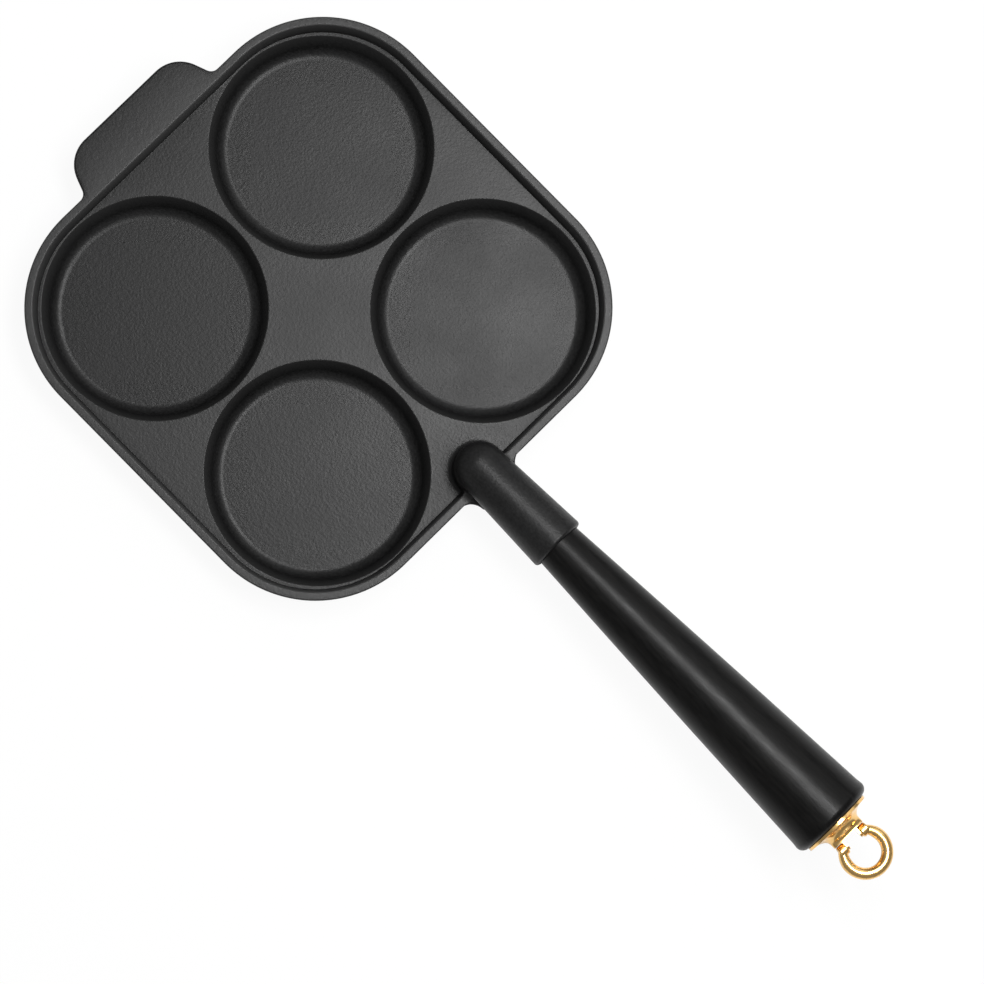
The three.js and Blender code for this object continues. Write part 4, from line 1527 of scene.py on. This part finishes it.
def add_floor(finishes):
    """A wide level floor, which is part of the stage."""
    mesh = bpy.data.meshes.new("floor")
    corners = [(x * FLOOR_HALF, y * FLOOR_HALF, 0) for x, y in ((-1, -1), (1, -1), (1, 1), (-1, 1))]
    mesh.from_pydata(corners, [], [(0, 1, 2, 3)])
    mesh.materials.append(floor_material(finishes))
    new_object("floor", mesh)


def add_world():
    """An even white surrounding light."""
    world = bpy.data.worlds.new("Studio")
    world.use_nodes = True
    background = world.node_tree.nodes["Background"]
    set_inputs(world.node_tree, background, {
        "Color": (1.0, 1.0, 1.0, 1.0), "Strength": WORLD_STRENGTH,
    })
    bpy.context.scene.world = world


def add_lamp(name, place, target, size, power):
    """An area lamp that is turned to its target."""
    lamp = bpy.data.lights.new(name, "AREA")
    lamp.shape = "RECTANGLE"
    lamp.size, lamp.size_y = size
    lamp.energy = power
    holder = new_object(name, lamp)
    holder.location = place
    holder.rotation_euler = (Vector(target) - Vector(place)).to_track_quat("-Z", "Y").to_euler()


def add_camera(settings, at):
    """The camera over the pan, with the handle pointing down to the right of the image."""
    target = Vector((at.head_x + settings.aim_along, settings.aim_across, at.rim_z))
    height = settings.camera_height - target.z
    place = Vector((
        at.head_x + settings.camera_along,
        target.y - height * math.tan(settings.camera_lean),
        settings.camera_height,
    ))
    back = (place - target).normalized()
    up = Matrix.Rotation(settings.camera_roll, 3, "Z") @ Vector((-1, 1, 0))
    up = (up - up.dot(back) * back).normalized()
    turn = Matrix((up.cross(back), up, back)).transposed()
    data = bpy.data.cameras.new("camera")
    data.sensor_width = 36.0
    data.lens = data.sensor_width * (place - target).length / settings.image_scale
    camera = new_object("camera", data)
    camera.matrix_world = Matrix.Translation(place) @ turn.to_4x4()
    bpy.context.scene.camera = camera


class EGGPAN_OT_stage(Operator):
    """Set the floor, the world, the lamps and the camera"""

    bl_idname = "egg_pan.stage"
    bl_label = "Stage"

    def execute(self, context):
        pan = pan_of(context)
        at = layout(pan)
        add_floor(pan.finishes)
        add_world()
        aim = (at.head_x + LAMP_AIM, 0, 0)
        for name, (along, across, height), size, power in LAMPS:
            add_lamp(name, (at.head_x + along, across, height), aim, size, power)
        add_camera(pan.stage, at)
        context.scene.view_settings.view_transform = "Standard"
        return {"FINISHED"}


class EGGPAN_PT_panel(Panel):
    """Lists the pan's pieces and its stage"""

    bl_idname = "EGGPAN_PT_panel"
    bl_label = "Egg pan"
    bl_space_type = "VIEW_3D"
    bl_region_type = "UI"
    bl_category = "Egg pan"

    def draw(self, context):
        for operator in OPERATORS:
            self.layout.operator(operator.bl_idname)


OPERATORS = (
    EGGPAN_OT_casting,
    EGGPAN_OT_grip,
    EGGPAN_OT_cap,
    EGGPAN_OT_loop,
    EGGPAN_OT_fasteners,
    EGGPAN_OT_stage,
)
CLASSES = (
    HeadSizes, ElbowSizes, GripSizes, CapSizes, LoopSizes, Finishes, StageSettings, EggPan,
    *OPERATORS, EGGPAN_PT_panel,
)


def register():
    for each in CLASSES:
        bpy.utils.register_class(each)
    bpy.types.Scene.egg_pan = PointerProperty(type=EggPan)


def unregister():
    del bpy.types.Scene.egg_pan
    for each in reversed(CLASSES):
        bpy.utils.unregister_class(each)


def main():
    register()
    bpy.ops.egg_pan.casting()
    bpy.ops.egg_pan.grip()
    bpy.ops.egg_pan.cap()
    bpy.ops.egg_pan.loop()
    bpy.ops.egg_pan.fasteners()
    bpy.ops.egg_pan.stage()


if __name__ == "__main__":
    main()
